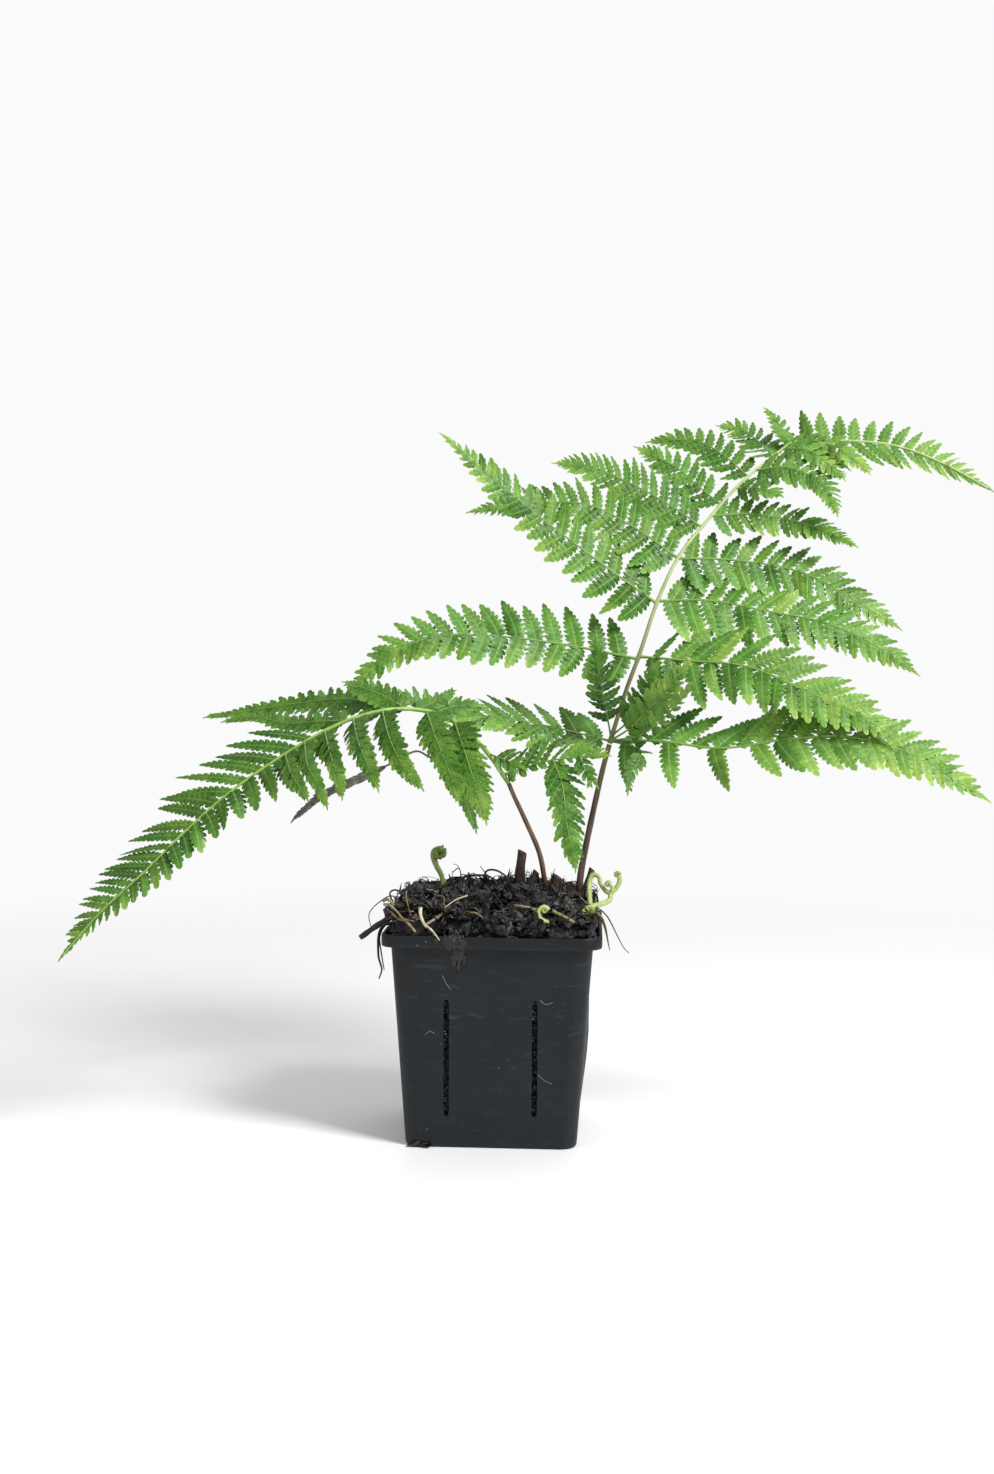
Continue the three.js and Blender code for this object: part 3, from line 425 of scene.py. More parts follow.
def add_tube(shape, places, radii, sides=6, tint=(0.5, 0, 0), ridges=0, ridge=0.0, flat=1.0):
    """A stalk along places with a radius at each. Ridges run along it, flat squeezes it one way."""
    places = np.asarray(places, float)
    radii = np.broadcast_to(np.asarray(radii, float), len(places))
    first, second = carried_frames(places)
    turn = np.linspace(0, 2 * math.pi, sides, endpoint=False)
    swell = 1 + ridge * np.cos(turn * ridges)
    reach = (radii[:, None] * swell)[..., None]
    rings = (places[:, None] + reach * np.cos(turn)[None, :, None] * first[:, None]
             + reach * flat * np.sin(turn)[None, :, None] * second[:, None])
    corners, faces = loft(rings)
    run = np.concatenate([[0], np.cumsum(np.linalg.norm(np.diff(places, axis=0), axis=1))])
    grain = np.zeros_like(corners)
    grain[:-2, 0] = np.tile(turn / (2 * math.pi), len(places))
    grain[:-2, 1] = np.repeat(run, sides)
    grain[-1, 1] = run[-1]
    shape.add(corners, faces, grain, tint)


def add_stalk(shape, points, radii, step=0.8, **more):
    """A tapering stalk along a smooth route through points, with a ring at each step."""
    path = Path(points)
    share = np.linspace(0, 1, max(4, round(path.length / step)))
    add_tube(shape, path.at(share), np.interp(share, (0, 1), radii), **more)


# Leaflets

TOOTH_PITCH = 2.15               # length of margin that one tooth takes
TEETH = (3, 11)                  # fewest and most teeth a side
TOOTH_PHASES = (0.0, 0.24, 0.52, 0.8)
TOOTH_REACH = (0.0, 0.64, 1.0, 0.72)     # from the notch to the tooth's top, at each phase
TOOTH_AHEAD = (0.0, 0.06, 0.27, 0.24)    # how far a tooth leans forward, in tooth lengths
TOOTHED_SHARE = 0.96
WIDEST_AT = 0.16                 # share of its length at which a leaflet is widest
COLUMNS = np.array((-1, -0.3, 0, 0.3, 1))
COLUMN_RISE = np.array((-0.12, 0.06, -0.06, 0.06, -0.12))
MIDRIB_DEPTH = 0.28
NOTCH_BY_LENGTH = (4, 8, 13), (0.16, 0.44, 0.6)
FOOT_BY_LENGTH = (5, 12), (1.05, 0.72)   # how wide the foot is, against the widest place
BEND_BY_LENGTH = (4, 14), (34, 12)       # degrees that a leaflet bends towards the rib's tip
OUTER_TEETH = 0.4                # how much shallower the notches are at the tip
RIPPLE, RIPPLE_TURN = 0.06, 2.4
FOLD, FOLD_SPREAD = 0.05, 0.1    # how far the two halves hang below the midrib
WIDEST_LEAFLET = 8.0
SHORTEST_LEAFLET = 2.0


@lru_cache
def leaflet_faces(stations):
    """Faces of one blade: its top in columns, its midrib below, its tip and its foot."""
    columns = len(COLUMNS)
    top = np.arange(stations * columns).reshape(stations, columns)
    below = stations * columns + np.arange(stations)
    tip = stations * (columns + 1)
    quads = [grid_quads(top)[:, ::-1]]
    for near, far in ((top[:, 0], below), (below, top[:, -1])):
        quads.append(np.stack([near[:-1], far[:-1], far[1:], near[1:]], -1))
    triangles = [(a, tip, b) for a, b in zip(top[-1], top[-1][1:])]
    triangles += [(top[-1][0], below[-1], tip), (below[-1], top[-1][-1], tip)]
    triangles += [(below[0], a, b) for a, b in zip(top[0], top[0][1:])]
    return np.vstack(quads), np.array(triangles)


@dataclass
class Spine:
    """The midrib of a blade: its places and directions, and the blade's reach beside each place."""
    middle: np.ndarray
    along: np.ndarray
    cross: np.ndarray
    out: np.ndarray
    share: np.ndarray
    half: np.ndarray         # how far the blade reaches to either side
    edge: np.ndarray         # share of that reach at its toothed edge
    ahead: np.ndarray        # how far its edge leans forward


def tooth_rows(teeth, notch, rng):
    """Place along the blade counted in teeth, and the blade's reach there, with its notches."""
    phase = np.repeat(np.arange(teeth), len(TOOTH_PHASES)) + np.tile(TOOTH_PHASES, teeth)
    depth = notch * rng.uniform(0.75, 1.1, len(phase))
    return phase, 1 - depth * (1 - np.tile(TOOTH_REACH, teeth))


def add_blade(shape, spine, phase, tip, tone, rng):
    """A thin closed blade over its midrib. tone is at its foot and at its tip."""
    handed = np.sign(np.cross(spine.along[0], spine.cross[0]) @ spine.out[0])
    normal = np.cross(spine.along, spine.cross) * handed
    half = spine.half[:, None]
    wide = np.where(np.abs(COLUMNS) == 1, spine.edge[:, None], 1) * half * COLUMNS
    wave = np.sin(np.floor(phase) * RIPPLE_TURN + rng.uniform(0, 6))
    hang = rng.normal(FOLD, FOLD_SPREAD) * np.abs(COLUMNS)
    rise = half * (COLUMN_RISE + RIPPLE * wave[:, None] * COLUMNS - hang)
    ahead = spine.ahead[:, None] * COLUMNS**2
    top = (spine.middle[:, None] + wide[..., None] * spine.cross[:, None]
           + rise[..., None] * normal[:, None] + ahead[..., None] * spine.along[:, None])
    depth = spine.half * COLUMN_RISE[2] - MIDRIB_DEPTH * np.sqrt(spine.half / spine.half.max())
    rib = spine.middle + normal * depth[:, None]
    corners = np.vstack([top.reshape(-1, 3), rib, tip[None]])

    rows, columns = wide.shape
    grain = np.zeros_like(corners)
    grain[:-1, 0] = np.concatenate([np.tile(COLUMNS, rows), np.zeros(rows)])
    grain[:-1, 1] = np.concatenate([np.repeat(phase, columns), phase])
    grain[:-1, 2] = np.concatenate([np.repeat(spine.share, columns), spine.share])
    grain[-1] = (0, math.ceil(phase[-1]), 1)
    tint = np.zeros_like(corners)
    tint[:, 0] = tone[0] + (tone[1] - tone[0]) * grain[:, 2]
    tint[rows * columns:-1, 1] = 1
    tint[:, 2] = rng.random()
    quads, triangles = leaflet_faces(rows)
    if handed < 0:
        quads, triangles = quads[:, ::-1], triangles[:, ::-1]
    shape.add(corners, (quads, triangles), grain, tint)


@dataclass
class Leaflet:
    """The size and bearing of one leaflet."""
    side: int                # 1 above its rib and -1 below it
    length: float
    half: float              # half its width
    lean: float              # angle from the rib, in radians
    tone: tuple              # at its foot and at its tip
    droop: float
    blunt: float             # higher keeps it wide further out

    def reach(self, share):
        """How far its blade reaches to either side: round at the foot and pointed at the tip."""
        foot = np.interp(self.length, *FOOT_BY_LENGTH)
        swell = foot + (1 - foot) * np.sin(np.clip(share / WIDEST_AT, 0, 1) * math.pi / 2)
        outer = np.clip((share - WIDEST_AT) / (1 - WIDEST_AT), 0, 1)
        return self.half * swell * (1 - outer**self.blunt)

    def directions(self, share, stand):
        """The ways its midrib runs, and the ways across it, along its length."""
        bend = math.radians(np.interp(self.length, *BEND_BY_LENGTH))
        turn = self.lean + bend * (0.4 - share)
        cos, sin = np.cos(turn)[:, None], self.side * np.sin(turn)[:, None]
        return (cos * stand.along + sin * stand.across,
                self.side * sin * stand.along - self.side * cos * stand.across)


def add_leaflet(shape, stand, leaflet, rng):
    """One leaflet with toothed edges, which twists and sags a little in its own way."""
    length, droop = leaflet.length, leaflet.droop
    teeth = int(np.clip(round(length / TOOTH_PITCH), *TEETH))
    notch = np.interp(length, *NOTCH_BY_LENGTH) * rng.uniform(0.88, 1.04)
    phase, edge = tooth_rows(teeth, notch, rng)
    share = phase / teeth * TOOTHED_SHARE
    edge = edge + (1 - edge) * OUTER_TEETH * share
    edge[0] = 1
    direction, tipward = leaflet.directions(share, stand)
    roll = droop * (rng.normal(0, 2.0) + rng.normal(0, 3.5) * share)[:, None]
    cross = tipward * np.cos(roll) + stand.out * np.sin(roll)
    step = np.diff(share, prepend=0)[:, None] * length
    sag = (droop * rng.uniform(0.3, 1.7) * length * share**2)[:, None]
    middle = stand.place + np.cumsum(direction * step, axis=0) - stand.out * sag
    tip = middle[-1] + direction[-1] * (1 - share[-1]) * length - stand.out * sag[-1] * 0.1
    spine = Spine(middle, direction, cross, np.tile(stand.out, (len(share), 1)), share,
                  leaflet.reach(share), edge, np.tile(TOOTH_AHEAD, teeth) * length / teeth)
    add_blade(shape, spine, phase, tip, leaflet.tone, rng)


# Pinnae and fronds

CROWDING = 0.5
MORE_PAIRS = 1.25                  # finer rows than in the solids
TIP_LENGTH, TIP_HALF = 8.0, 1.25   # of the blade at the tip of a pinna
ROW_END = 0.98                     # share of the rib at which the last leaflets stand
LOWER_SHORTER = 0.25               # how much the lower leaflets shorten towards the tip
LOWER_WIDER, OUTER_WIDER = 1.1, 0.15
WIDTH_SHARE = 0.62                 # widest a leaflet can be, as a share of its length
STAGGER = 0.08                     # how far the upper leaflets stand ahead of the lower ones
LIGHTER_OUT, TONE_SPREAD = 0.3, 0.08


def spread(share):
    """Leaflets stand closer together towards the tip."""
    return share * (1 + CROWDING * (1 - share))


def taper(share, full):
    """The length of a leaflet along its row, from 1 at the row's foot to 0 at its tip."""
    return min(1, 0.9 + share) * max(0, 1 - share**full) ** 0.8


def leaflet_in_row(row, side, out, gap, rng):
    """The leaflet at that share of a row, which has that much of the rib to itself."""
    above = side > 0
    longest = row.long[0] if above else row.long[1] * (1 - LOWER_SHORTER * out)
    length = max(longest * taper(out, row.full), SHORTEST_LEAFLET) * rng.uniform(0.9, 1.08)
    near, far = row.lean[:2] if above else row.lean[2:]
    lean = math.radians(near + (far - near) * out + rng.normal(0, 4))
    fill = row.fill * (1 if above else LOWER_WIDER) + OUTER_WIDER * max(0, out - 0.4)
    half = min(gap * math.sin(lean) * fill, length * WIDTH_SHARE, WIDEST_LEAFLET) / 2
    tone = row.tone + LIGHTER_OUT * (out - 0.35) + rng.normal(0, TONE_SPREAD)
    tones = (tone + 0.1, tone - 0.06) if above else (tone - 0.1, tone + 0.2)
    blunt = np.interp(out, (0.5, 1), (2.3 if above else 2.8, 1.5))
    return Leaflet(side, length, half, lean, tones, row.droop, blunt)


def add_leaflets(blades, path, row, rng):
    """Pairs of leaflets along a rib, and one at its tip."""
    pairs = round(row.pairs * MORE_PAIRS)
    ends = row.bare + (ROW_END - row.bare) * spread(np.arange(pairs + 1) / pairs)
    for index, (start, end) in enumerate(zip(ends, ends[1:])):
        out = (index + 0.5) / pairs
        for side in (1, -1):
            if side < 0 and out < row.sparse and index % 2:
                continue
            leaflet = leaflet_in_row(row, side, out, (end - start) * path.length, rng)
            middle = start + (end - start) * (0.5 + STAGGER * side)
            add_leaflet(blades, stand_at(path, middle, row.face), leaflet, rng)
    last = stand_at(path, 1 - TIP_LENGTH * 0.75 / path.length, row.face)
    tones = (row.tone + 0.2, row.tone + 0.35)
    add_leaflet(blades, last, Leaflet(1, TIP_LENGTH, TIP_HALF, 0.02, tones, 0, 1.3), rng)


WEB_NOTCH, WEB_BEHIND, WEB_LEAST = 0.4, 0.15, 0.2
TIP_WEB = 0.35                     # how much more the leaflets are grown together at the tip


def add_web(blades, path, row, rng):
    """The thin blade along a rib in which the feet of its leaflets are grown together."""
    phase, edge = tooth_rows(round(row.pairs * MORE_PAIRS), WEB_NOTCH, rng)
    out = phase / (phase[-1] + 1)
    share = row.bare + (ROW_END - row.bare) * spread(out)
    stands = [stand_at(path, s, row.face) for s in share]
    along, across, outward = (np.array([getattr(stand, name) for stand in stands])
                              for name in ("along", "across", "out"))
    middle = np.array([stand.place for stand in stands]) - outward * WEB_BEHIND
    grown = row.web + TIP_WEB * out**3
    reach = WEB_LEAST + min(row.long) * grown * np.array([taper(o, row.full) for o in out])
    reach = reach * np.clip(0.5 + out * 8, 0, 1)
    pitch = path.length / len(out) * len(TOOTH_PHASES)
    ahead = np.tile(TOOTH_AHEAD, len(out) // len(TOOTH_PHASES)) * pitch
    spine = Spine(middle, along, across, outward, out, reach, edge, ahead)
    add_blade(blades, spine, phase, path.at(share[-1] + 0.01), (row.tone, row.tone + 0.2), rng)


def add_pinna(blades, ribs, parent, row, rng):
    path = Path([parent.at(row.at / parent.length), *row.via])
    add_leaflets(blades, path, row, rng)
    add_web(blades, path, row, rng)
    share = np.linspace(0, 0.985, max(12, round(path.length / 1.6)))
    thick = np.interp(path.length, (25, 130), (0.35, 0.6))
    radii = thick * (1 - 0.72 * share) * (1 + 0.5 * np.exp(-share * path.length / 1.5))
    lift = np.array([stand_at(path, s, row.face).out for s in share]) * -0.12
    add_tube(ribs, path.at(share) + lift, radii, sides=6, tint=(row.tone, 0, rng.random()))
    for branch in row.branches:
        add_pinna(blades, ribs, path, branch, rng)


def frond(name, rachis_points, pinnae, apex, looks, rng):
    """The green part of one frond: its blades, and the rachis with the ribs of its pinnae."""
    blades, ribs = Shape(), Shape()
    rachis = Path(rachis_points)
    for row in pinnae:
        add_pinna(blades, ribs, rachis, row, rng)
    add_leaflets(blades, rachis, apex, rng)
    add_web(blades, rachis, apex, rng)
    share = np.linspace(0, 0.995, 160)
    knots = np.array([row.at for row in pinnae]) / rachis.length
    swell = 1 + 0.16 * np.exp(-((share[:, None] - knots) * rachis.length / 1.4) ** 2).max(axis=1)
    radii = np.interp(share, (0, 1), RACHIS_RADII) * swell
    add_tube(ribs, rachis.at(share), radii, sides=10, tint=(0.55, 1, 0.5), ridges=2, ridge=0.08)
    leaves = blades.piece(f"{name}_blades", looks["leaf"])
    stems = ribs.piece(f"{name}_ribs", looks["rib"])
    for piece in (leaves, stems):
        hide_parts(name)


def withered_pinna(looks, rng):
    blades = Shape()
    rachis = Path(RACHIS_LEFT)
    path = Path([rachis.at(WITHERED.at / rachis.length), *WITHERED.via])
    add_leaflets(blades, path, WITHERED, rng)
    add_web(blades, path, WITHERED, rng)
    share = np.linspace(0.01, 0.98, 70)
    add_tube(blades, path.at(share), np.interp(share, (0, 1), (0.5, 0.2)), sides=6, tint=(0.1, 0, 0.5))
    piece = blades.piece("withered_pinna_fine", looks["dead_leaf"])
    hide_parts("withered_pinna")


# The pot

def square_ring(half, corner, height, per_side=1, per_corner=3):
    """Corner points of a square ring with round corners, counter-clockwise from above."""
    straight = half - corner
    side = [(half, straight * (2 * k / per_side - 1)) for k in range(per_side)]
    arc = [(straight + corner * math.cos(k / per_corner * math.pi / 2),
            straight + corner * math.sin(k / per_corner * math.pi / 2)) for k in range(per_corner)]
    ring = []
    for quarter in range(4):
        cos, sin = (1, 0, -1, 0)[quarter], (0, 1, 0, -1)[quarter]
        ring += [(x * cos - y * sin, x * sin + y * cos, height) for x, y in side + arc]
    return np.array(ring, float)


FRONT_BULGE, SIDE_BULGE = 0.5, 1.2
BULGE_WIDTH = 3.2                # how far along the wall a bulge reaches
BULGE_FADE = (20, 14)            # heights over which it fades at the slot's foot and top
WALL_STEPS, CORNER_STEPS, WALL_RINGS = 44, 10, 38
BODY_FOOT = 1.6                  # where the rounding at the pot's foot ends
INNER_TOP = UNDER_RIM - 0.4
RIM_WAVE = 0.22
FOOT_ROUNDING = [(-1.5, 0.0), (-0.8, 0.15), (-0.3, 0.5), (-0.08, 1.0)]     # out and up
RIM_BAND = [(-0.9, 0.0), (-0.35, 0.05), (-0.1, 0.3), (0, 0.8), (0, 4.0), (-0.12, 4.3),
            (-0.4, 4.5), (-0.9, 4.5), (-1.2, 4.35), (-WALL, 4.0), (-WALL, 1.6)]
SLOT_POINTS, SLOT_RAGGED, SLOT_ROUNDING = 30, 0.07, 0.5
DRAIN_POINTS, DRAIN_CUT = 28, (-3, 5)


def slot_bulge(places):
    """How far the walls bow outwards beside the slots, where the plastic was pressed."""
    x, y, z = places.T
    outward = np.where((np.abs(x) > np.abs(y))[:, None], (1, 0), (0, 1)) * np.sign(places[:, :2])
    near = np.exp(-((np.minimum(np.abs(x), np.abs(y)) - SLOT_OFFSET) / BULGE_WIDTH) ** 2)
    foot, top = BULGE_FADE
    upright = np.clip((z - SLOT_LOW) / foot, 0, 1) * np.clip((SLOT_HIGH - z) / top, 0, 1)
    pressed = np.where(np.abs(outward[:, 0]) > 0.5, SIDE_BULGE, FRONT_BULGE)
    return outward * (pressed * near * upright)[:, None]


def body_at(rise):
    """Half width and corner radius of the pot's body, from its base at 0 to its rim at 1."""
    return (BASE_HALF + (BODY_TOP_HALF - BASE_HALF) * rise,
            BASE_CORNER + (BODY_TOP_CORNER - BASE_CORNER) * rise)


def pot_shell():
    """Rings up the outside of the pot, over its rim and down the inside to its floor."""
    def ring(half, corner, height):
        return square_ring(half, corner, height, WALL_STEPS, CORNER_STEPS)

    foot = [ring(BASE_HALF + out, BASE_CORNER, up) for out, up in FOOT_ROUNDING]
    outer = []
    inner = [ring(BASE_HALF - WALL, BASE_CORNER - WALL, FLOOR)]
    for rise in np.linspace(0, 1, WALL_RINGS)[1:-1]:
        half, corner = body_at(rise)
        outer.append(ring(half, corner, BODY_FOOT + (UNDER_RIM - BODY_FOOT) * rise))
        inner.append(ring(half - WALL, corner - WALL, FLOOR + (INNER_TOP - FLOOR) * rise))
    under = [ring(BODY_TOP_HALF, BODY_TOP_CORNER, UNDER_RIM - 0.05)]
    rim = [ring(RIM_HALF + out, RIM_CORNER + min(out, 0), UNDER_RIM + up) for out, up in RIM_BAND]
    top = [ring(BODY_TOP_HALF - WALL, BODY_TOP_CORNER - WALL, INNER_TOP)]
    for level in outer + inner[1:]:
        level[:, :2] += slot_bulge(level)
    for level in rim:
        level[:, 2] += RIM_WAVE * np.sin(level[:, 0] * 0.09 + 0.6) * np.cos(level[:, 1] * 0.07)
    return foot + outer + under + rim + top + inner[::-1]


def slot_cutter(rng):
    """A tall thin block with a ragged outline and round ends, which cuts a slot in two walls."""
    height = np.linspace(SLOT_LOW, SLOT_HIGH, SLOT_POINTS)
    end = np.abs(np.linspace(-1, 1, SLOT_POINTS)) ** 40
    half = SLOT_WIDTH / 2 * (1 - end * SLOT_ROUNDING)
    right = np.stack([half + rng.normal(0, SLOT_RAGGED, SLOT_POINTS), height], -1)
    left = np.stack([-half + rng.normal(0, SLOT_RAGGED, SLOT_POINTS), height], -1)[::-1]
    reach = 2 * RIM_HALF
    return [[(x, y, z) for x, z in np.vstack([right, left])] for y in (reach, -reach)]


def drain_cutter(x, y):
    """A round peg, which cuts a hole in the pot's floor."""
    turn = np.linspace(0, 2 * math.pi, DRAIN_POINTS, endpoint=False)
    circle = np.stack([x + DRAIN_RADIUS * np.cos(turn), y + DRAIN_RADIUS * np.sin(turn)], -1)
    return [np.column_stack([circle, np.full(DRAIN_POINTS, z)]) for z in DRAIN_CUT]


def pot_cutters(rng):
    """All that is cut out of the pot: slots through two walls at a time, and drain holes."""
    cutters = Shape()
    for side in (-1, 1):
        for sideways in (False, True):
            corners, faces = loft(slot_cutter(rng))
            corners[:, 0] += side * SLOT_OFFSET
            if sideways:
                corners = corners[:, [1, 0, 2]] * (-1, 1, 1)
            cutters.add(corners, faces)
        for other in (-1, 1):
            cutters.add(*loft(drain_cutter(side * DRAIN_OFFSET, other * DRAIN_OFFSET)))
    return cutters


def pot(looks, rng):
    shell = Shape()
    shell.add(*loft(pot_shell()))
    piece = shell.piece("pot_fine", looks["pot"], sharp=35)
    knife = pot_cutters(rng).piece("pot_cutters", looks["pot"])
    cut = piece.modifiers.new("cut", "BOOLEAN")
    cut.operation, cut.solver, cut.use_self, cut.object = "DIFFERENCE", "EXACT", True, knife
    graph = bpy.context.evaluated_depsgraph_get()
    mesh = bpy.data.meshes.new_from_object(piece.evaluated_get(graph))
    for old in (piece, knife):
        bpy.data.objects.remove(old)
    piece = finished(mesh, "pot_fine", looks["pot"], 35)
    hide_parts("pot")


# The soil

SOIL_INSET = WALL + GAP
SOIL_FOOT = FLOOR + GAP
SOIL_LIP = POT_HEIGHT + 0.3
SOIL_BEND = UNDER_RIM + 2        # where the root ball widens into the rim
CLOD, GRIT = 7.0, 1.9            # sizes of the lumps in its surface
TOP_CLODS, TOP_GRIT, TOP_FINE, TOP_SUNK = 2.9, 0.8, 0.3, 2.4
SIDE_CLODS, SIDE_GRIT, SIDE_SUNK = 0.3, 0.5, 0.8


def mound_height(x, y):
    reach = np.maximum(np.abs(x), np.abs(y)) / RIM_HALF
    lumps = (np.sin(x * 0.31 + 1.3) * np.cos(y * 0.27 - 0.4) + 0.7 * np.sin(x * 0.53 - y * 0.47 + 0.8)
             + 0.5 * np.cos(x * 0.83 + y * 0.71))
    dips = sum(depth * np.exp(-((x - mid_x) ** 2 + (y - mid_y) ** 2) / radius**2)
               for mid_x, mid_y, radius, depth in MOUND_DIPS)
    return MOUND_EDGE + (MOUND_CREST - MOUND_EDGE) * (1 - reach**2.6) + lumps * 0.9 - dips


def crumble(place, size):
    """Lumps with dark crevices between them, from 0 in a crevice to 1 on a lump."""
    near = noise.voronoi(Vector(place) / size)[0]
    return min(1.0, 1.8 * (near[1] - near[0]))


def soil_rings():
    """Rings up the sides of the root ball, and over its mound to the middle."""
    def ring(half, corner, height):
        return square_ring(half, corner, height, per_side=60, per_corner=12)

    rings = [ring(BASE_HALF - SOIL_INSET - 2, BASE_CORNER - SOIL_INSET, SOIL_FOOT)]
    corner = BODY_TOP_CORNER - SOIL_INSET
    for rise in np.linspace(0, 1, 46):
        height = SOIL_FOOT + (UNDER_RIM - SOIL_FOOT) * rise
        rings.append(ring(body_at(rise)[0] - SOIL_INSET - 0.4, corner, height))
    for rise in np.linspace(0, 1, 10)[1:]:
        half = RIM_HALF - SOIL_INSET - 0.3 - 0.9 * rise**2
        rings.append(ring(half, BODY_TOP_CORNER, SOIL_BEND + (SOIL_LIP - SOIL_BEND) * rise))
    for scale in np.linspace(1, 0, 64)[1:-1] ** 0.8:
        level = ring((RIM_HALF - SOIL_INSET - 1.2) * scale, (RIM_CORNER + 1) * scale, 0)
        top = mound_height(level[:, 0], level[:, 1])
        level[:, 2] = SOIL_LIP + (top - SOIL_LIP) * min(1, ((1 - scale) / 0.07) ** 0.6)
        rings.append(level)
    return rings


def crumbled(place):
    """A place on the root ball's surface, moved out or in to make clods and grit."""
    clods, grit = crumble(place, CLOD), crumble(place, GRIT)
    fine = noise.noise(Vector(place) * 1.3)
    if place[2] > POT_HEIGHT - 3:
        height = TOP_CLODS * clods + TOP_GRIT * grit + TOP_FINE * fine - TOP_SUNK
    else:
        height = SIDE_GRIT * grit + SIDE_CLODS * clods - SIDE_SUNK
    steep = max(0, place[2] - MOUND_EDGE) * 6
    return place + unit(np.array((place[0], place[1], steep)) + 1e-6) * height


def soil(looks):
    """The root ball: an uneven mound above the rim, and rough sides down to the pot's floor."""
    corners, faces = loft(soil_rings())
    shape = Shape()
    shape.add([crumbled(place) for place in corners], faces)
    piece = shape.piece("soil_fine", looks["soil"], sharp=60)
    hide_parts("soil")


def lump(detail, roughness, seed):
    """A crumb of soil: a ball with dents and corners."""
    ball = bmesh.new()
    bmesh.ops.create_icosphere(ball, subdivisions=detail, radius=1)
    offset = Vector((seed * 7.3, seed * 3.1, seed * 5.7))
    for corner in ball.verts:
        push = noise.noise(corner.co * 1.3 + offset) + 0.5 * noise.noise(corner.co * 3.1 + offset)
        corner.co *= 1 + roughness * push
    corners = np.array([corner.co for corner in ball.verts])
    faces = np.array([[corner.index for corner in face.verts] for face in ball.faces])
    ball.free()
    return corners, faces


def any_lump(detail, roughness, rng):
    return lump(detail, roughness, int(rng.integers(30)))


def turned(rng):
    return np.array(Matrix.Rotation(rng.uniform(0, 2 * math.pi), 3, Vector(rng.normal(size=3))))


def any_tint(rng):
    return rng.random(), 0, rng.random()


WET = 2.0                        # written as a lump's tone, where it is wet


def mound_spot(rng, edge=0.0):
    """A place on the mound, more often near its front and its edge as edge goes up."""
    x, y = rng.uniform(-37, 37, 2)
    if rng.random() < edge:
        y = -37.5 + abs(rng.normal(0, 3))
    return x, y, float(mound_height(x, y))


# Crumbs: the first of their models, their fineness, their number and their sizes
CRUMBS = [(20, 3, 70, (1.6, 2.6)), (10, 2, 260, (0.7, 1.5)), (0, 1, 620, (0.3, 0.75))]
CRUMB_MODELS = 6
FLAKES, WET_LUMPS, SPILT_GRAINS, SLOT_GRAINS = 210, 64, 16, 170

# Soil stuck to the front of the rim: the middle of each smear, its half width and half height
SMEAR_FRONT, SMEAR_MIDDLE = -40.1, -12.5
RIM_DEPTH, RIM_STEP = 4.6, 3.1   # the rim's height, and how far the wall stands back below it
SMEAR_THICK = 0.3
SMEAR = [(-13.2, -39.9, 77, 3.4, 2.2), (-10.6, -39.9, 76.2, 2.2, 1.7), (-14.8, -39.9, 75.2, 1.2, 1.5),
         (-11.4, -36.8, 71.8, 2.4, 2.4), (-13.4, -36.7, 70.4, 1.2, 2.4), (-11.6, -36.5, 67.8, 0.7, 1.7),
         (-9.6, -36.7, 70.6, 0.8, 1.6)]
FOOT_CLODS = [(-26.6, -31.5, 1.5), (-24.6, -32, 1.0), (-23.2, -32.2, 0.9), (-27.8, -31.6, 1.1)]


def scatter_crumbs(shape, rng):
    """Crumbs and flakes of bark all over the mound, and more of them along its front."""
    for first, detail, count, (small, large) in CRUMBS:
        models = [lump(detail, 0.75, first + number) for number in range(CRUMB_MODELS)]
        for _ in range(count):
            x, y, z = mound_spot(rng, edge=0.35)
            if y < -36.3:
                z = min(z, POT_HEIGHT + 0.5 + rng.uniform(0, 9))
            corners, faces = models[rng.integers(CRUMB_MODELS)]
            size = rng.uniform(small, large) * rng.uniform(0.6, 1.2, 3)
            placed = (corners * size) @ turned(rng).T + (x, y, z - 0.5)
            shape.add(placed, [faces], tint=any_tint(rng))
    for _ in range(FLAKES):
        spot = np.array(mound_spot(rng, edge=0.3)) + (0, 0, 0.2)
        add_flake(shape, spot, rng.uniform(1.6, 4.4), rng)


def smear_rim(shape, rng):
    """Wet soil stuck to the front of the rim, and the grains that came down with it."""
    for x, y, z, wide, tall in SMEAR:
        corners, faces = any_lump(3, 0.5, rng)
        shape.add(corners * (wide, SMEAR_THICK, tall) + (x, y, z), [faces], tint=(WET, 0.12, 0.9))
    for _ in range(SPILT_GRAINS):
        down = abs(rng.normal(0, 3.2))
        below = max(0, down - RIM_DEPTH)
        y = SMEAR_FRONT + below * 0.09 + RIM_STEP * (below > 0)
        spot = (rng.normal(SMEAR_MIDDLE, 2.2), y, POT_HEIGHT + 0.5 - down)
        corners, faces = any_lump(1, 0.7, rng)
        size = np.array((rng.uniform(0.5, 1.3), rng.uniform(0.25, 0.5), rng.uniform(0.5, 1.4)))
        shape.add(corners * size + spot, [faces], tint=(rng.random(), 1, 0.4))


def fill_slots(shape, rng):
    """Grains of soil that show in the slots of all four walls."""
    for cos, sin in ((0, -1), (1, 0), (0, 1), (-1, 0)):
        for _ in range(SLOT_GRAINS):
            along = rng.choice((-SLOT_OFFSET, SLOT_OFFSET)) + rng.uniform(-0.9, 0.9)
            height = rng.uniform(SLOT_LOW, SLOT_HIGH)
            out = body_at(height / UNDER_RIM)[0] - rng.uniform(0.7, 1.6)
            spot = (-sin * along + cos * out, cos * along + sin * out, height)
            corners, faces = any_lump(1, 0.75, rng)
            shape.add(corners * rng.uniform(0.25, 0.75, 3) + spot, [faces], tint=any_tint(rng))


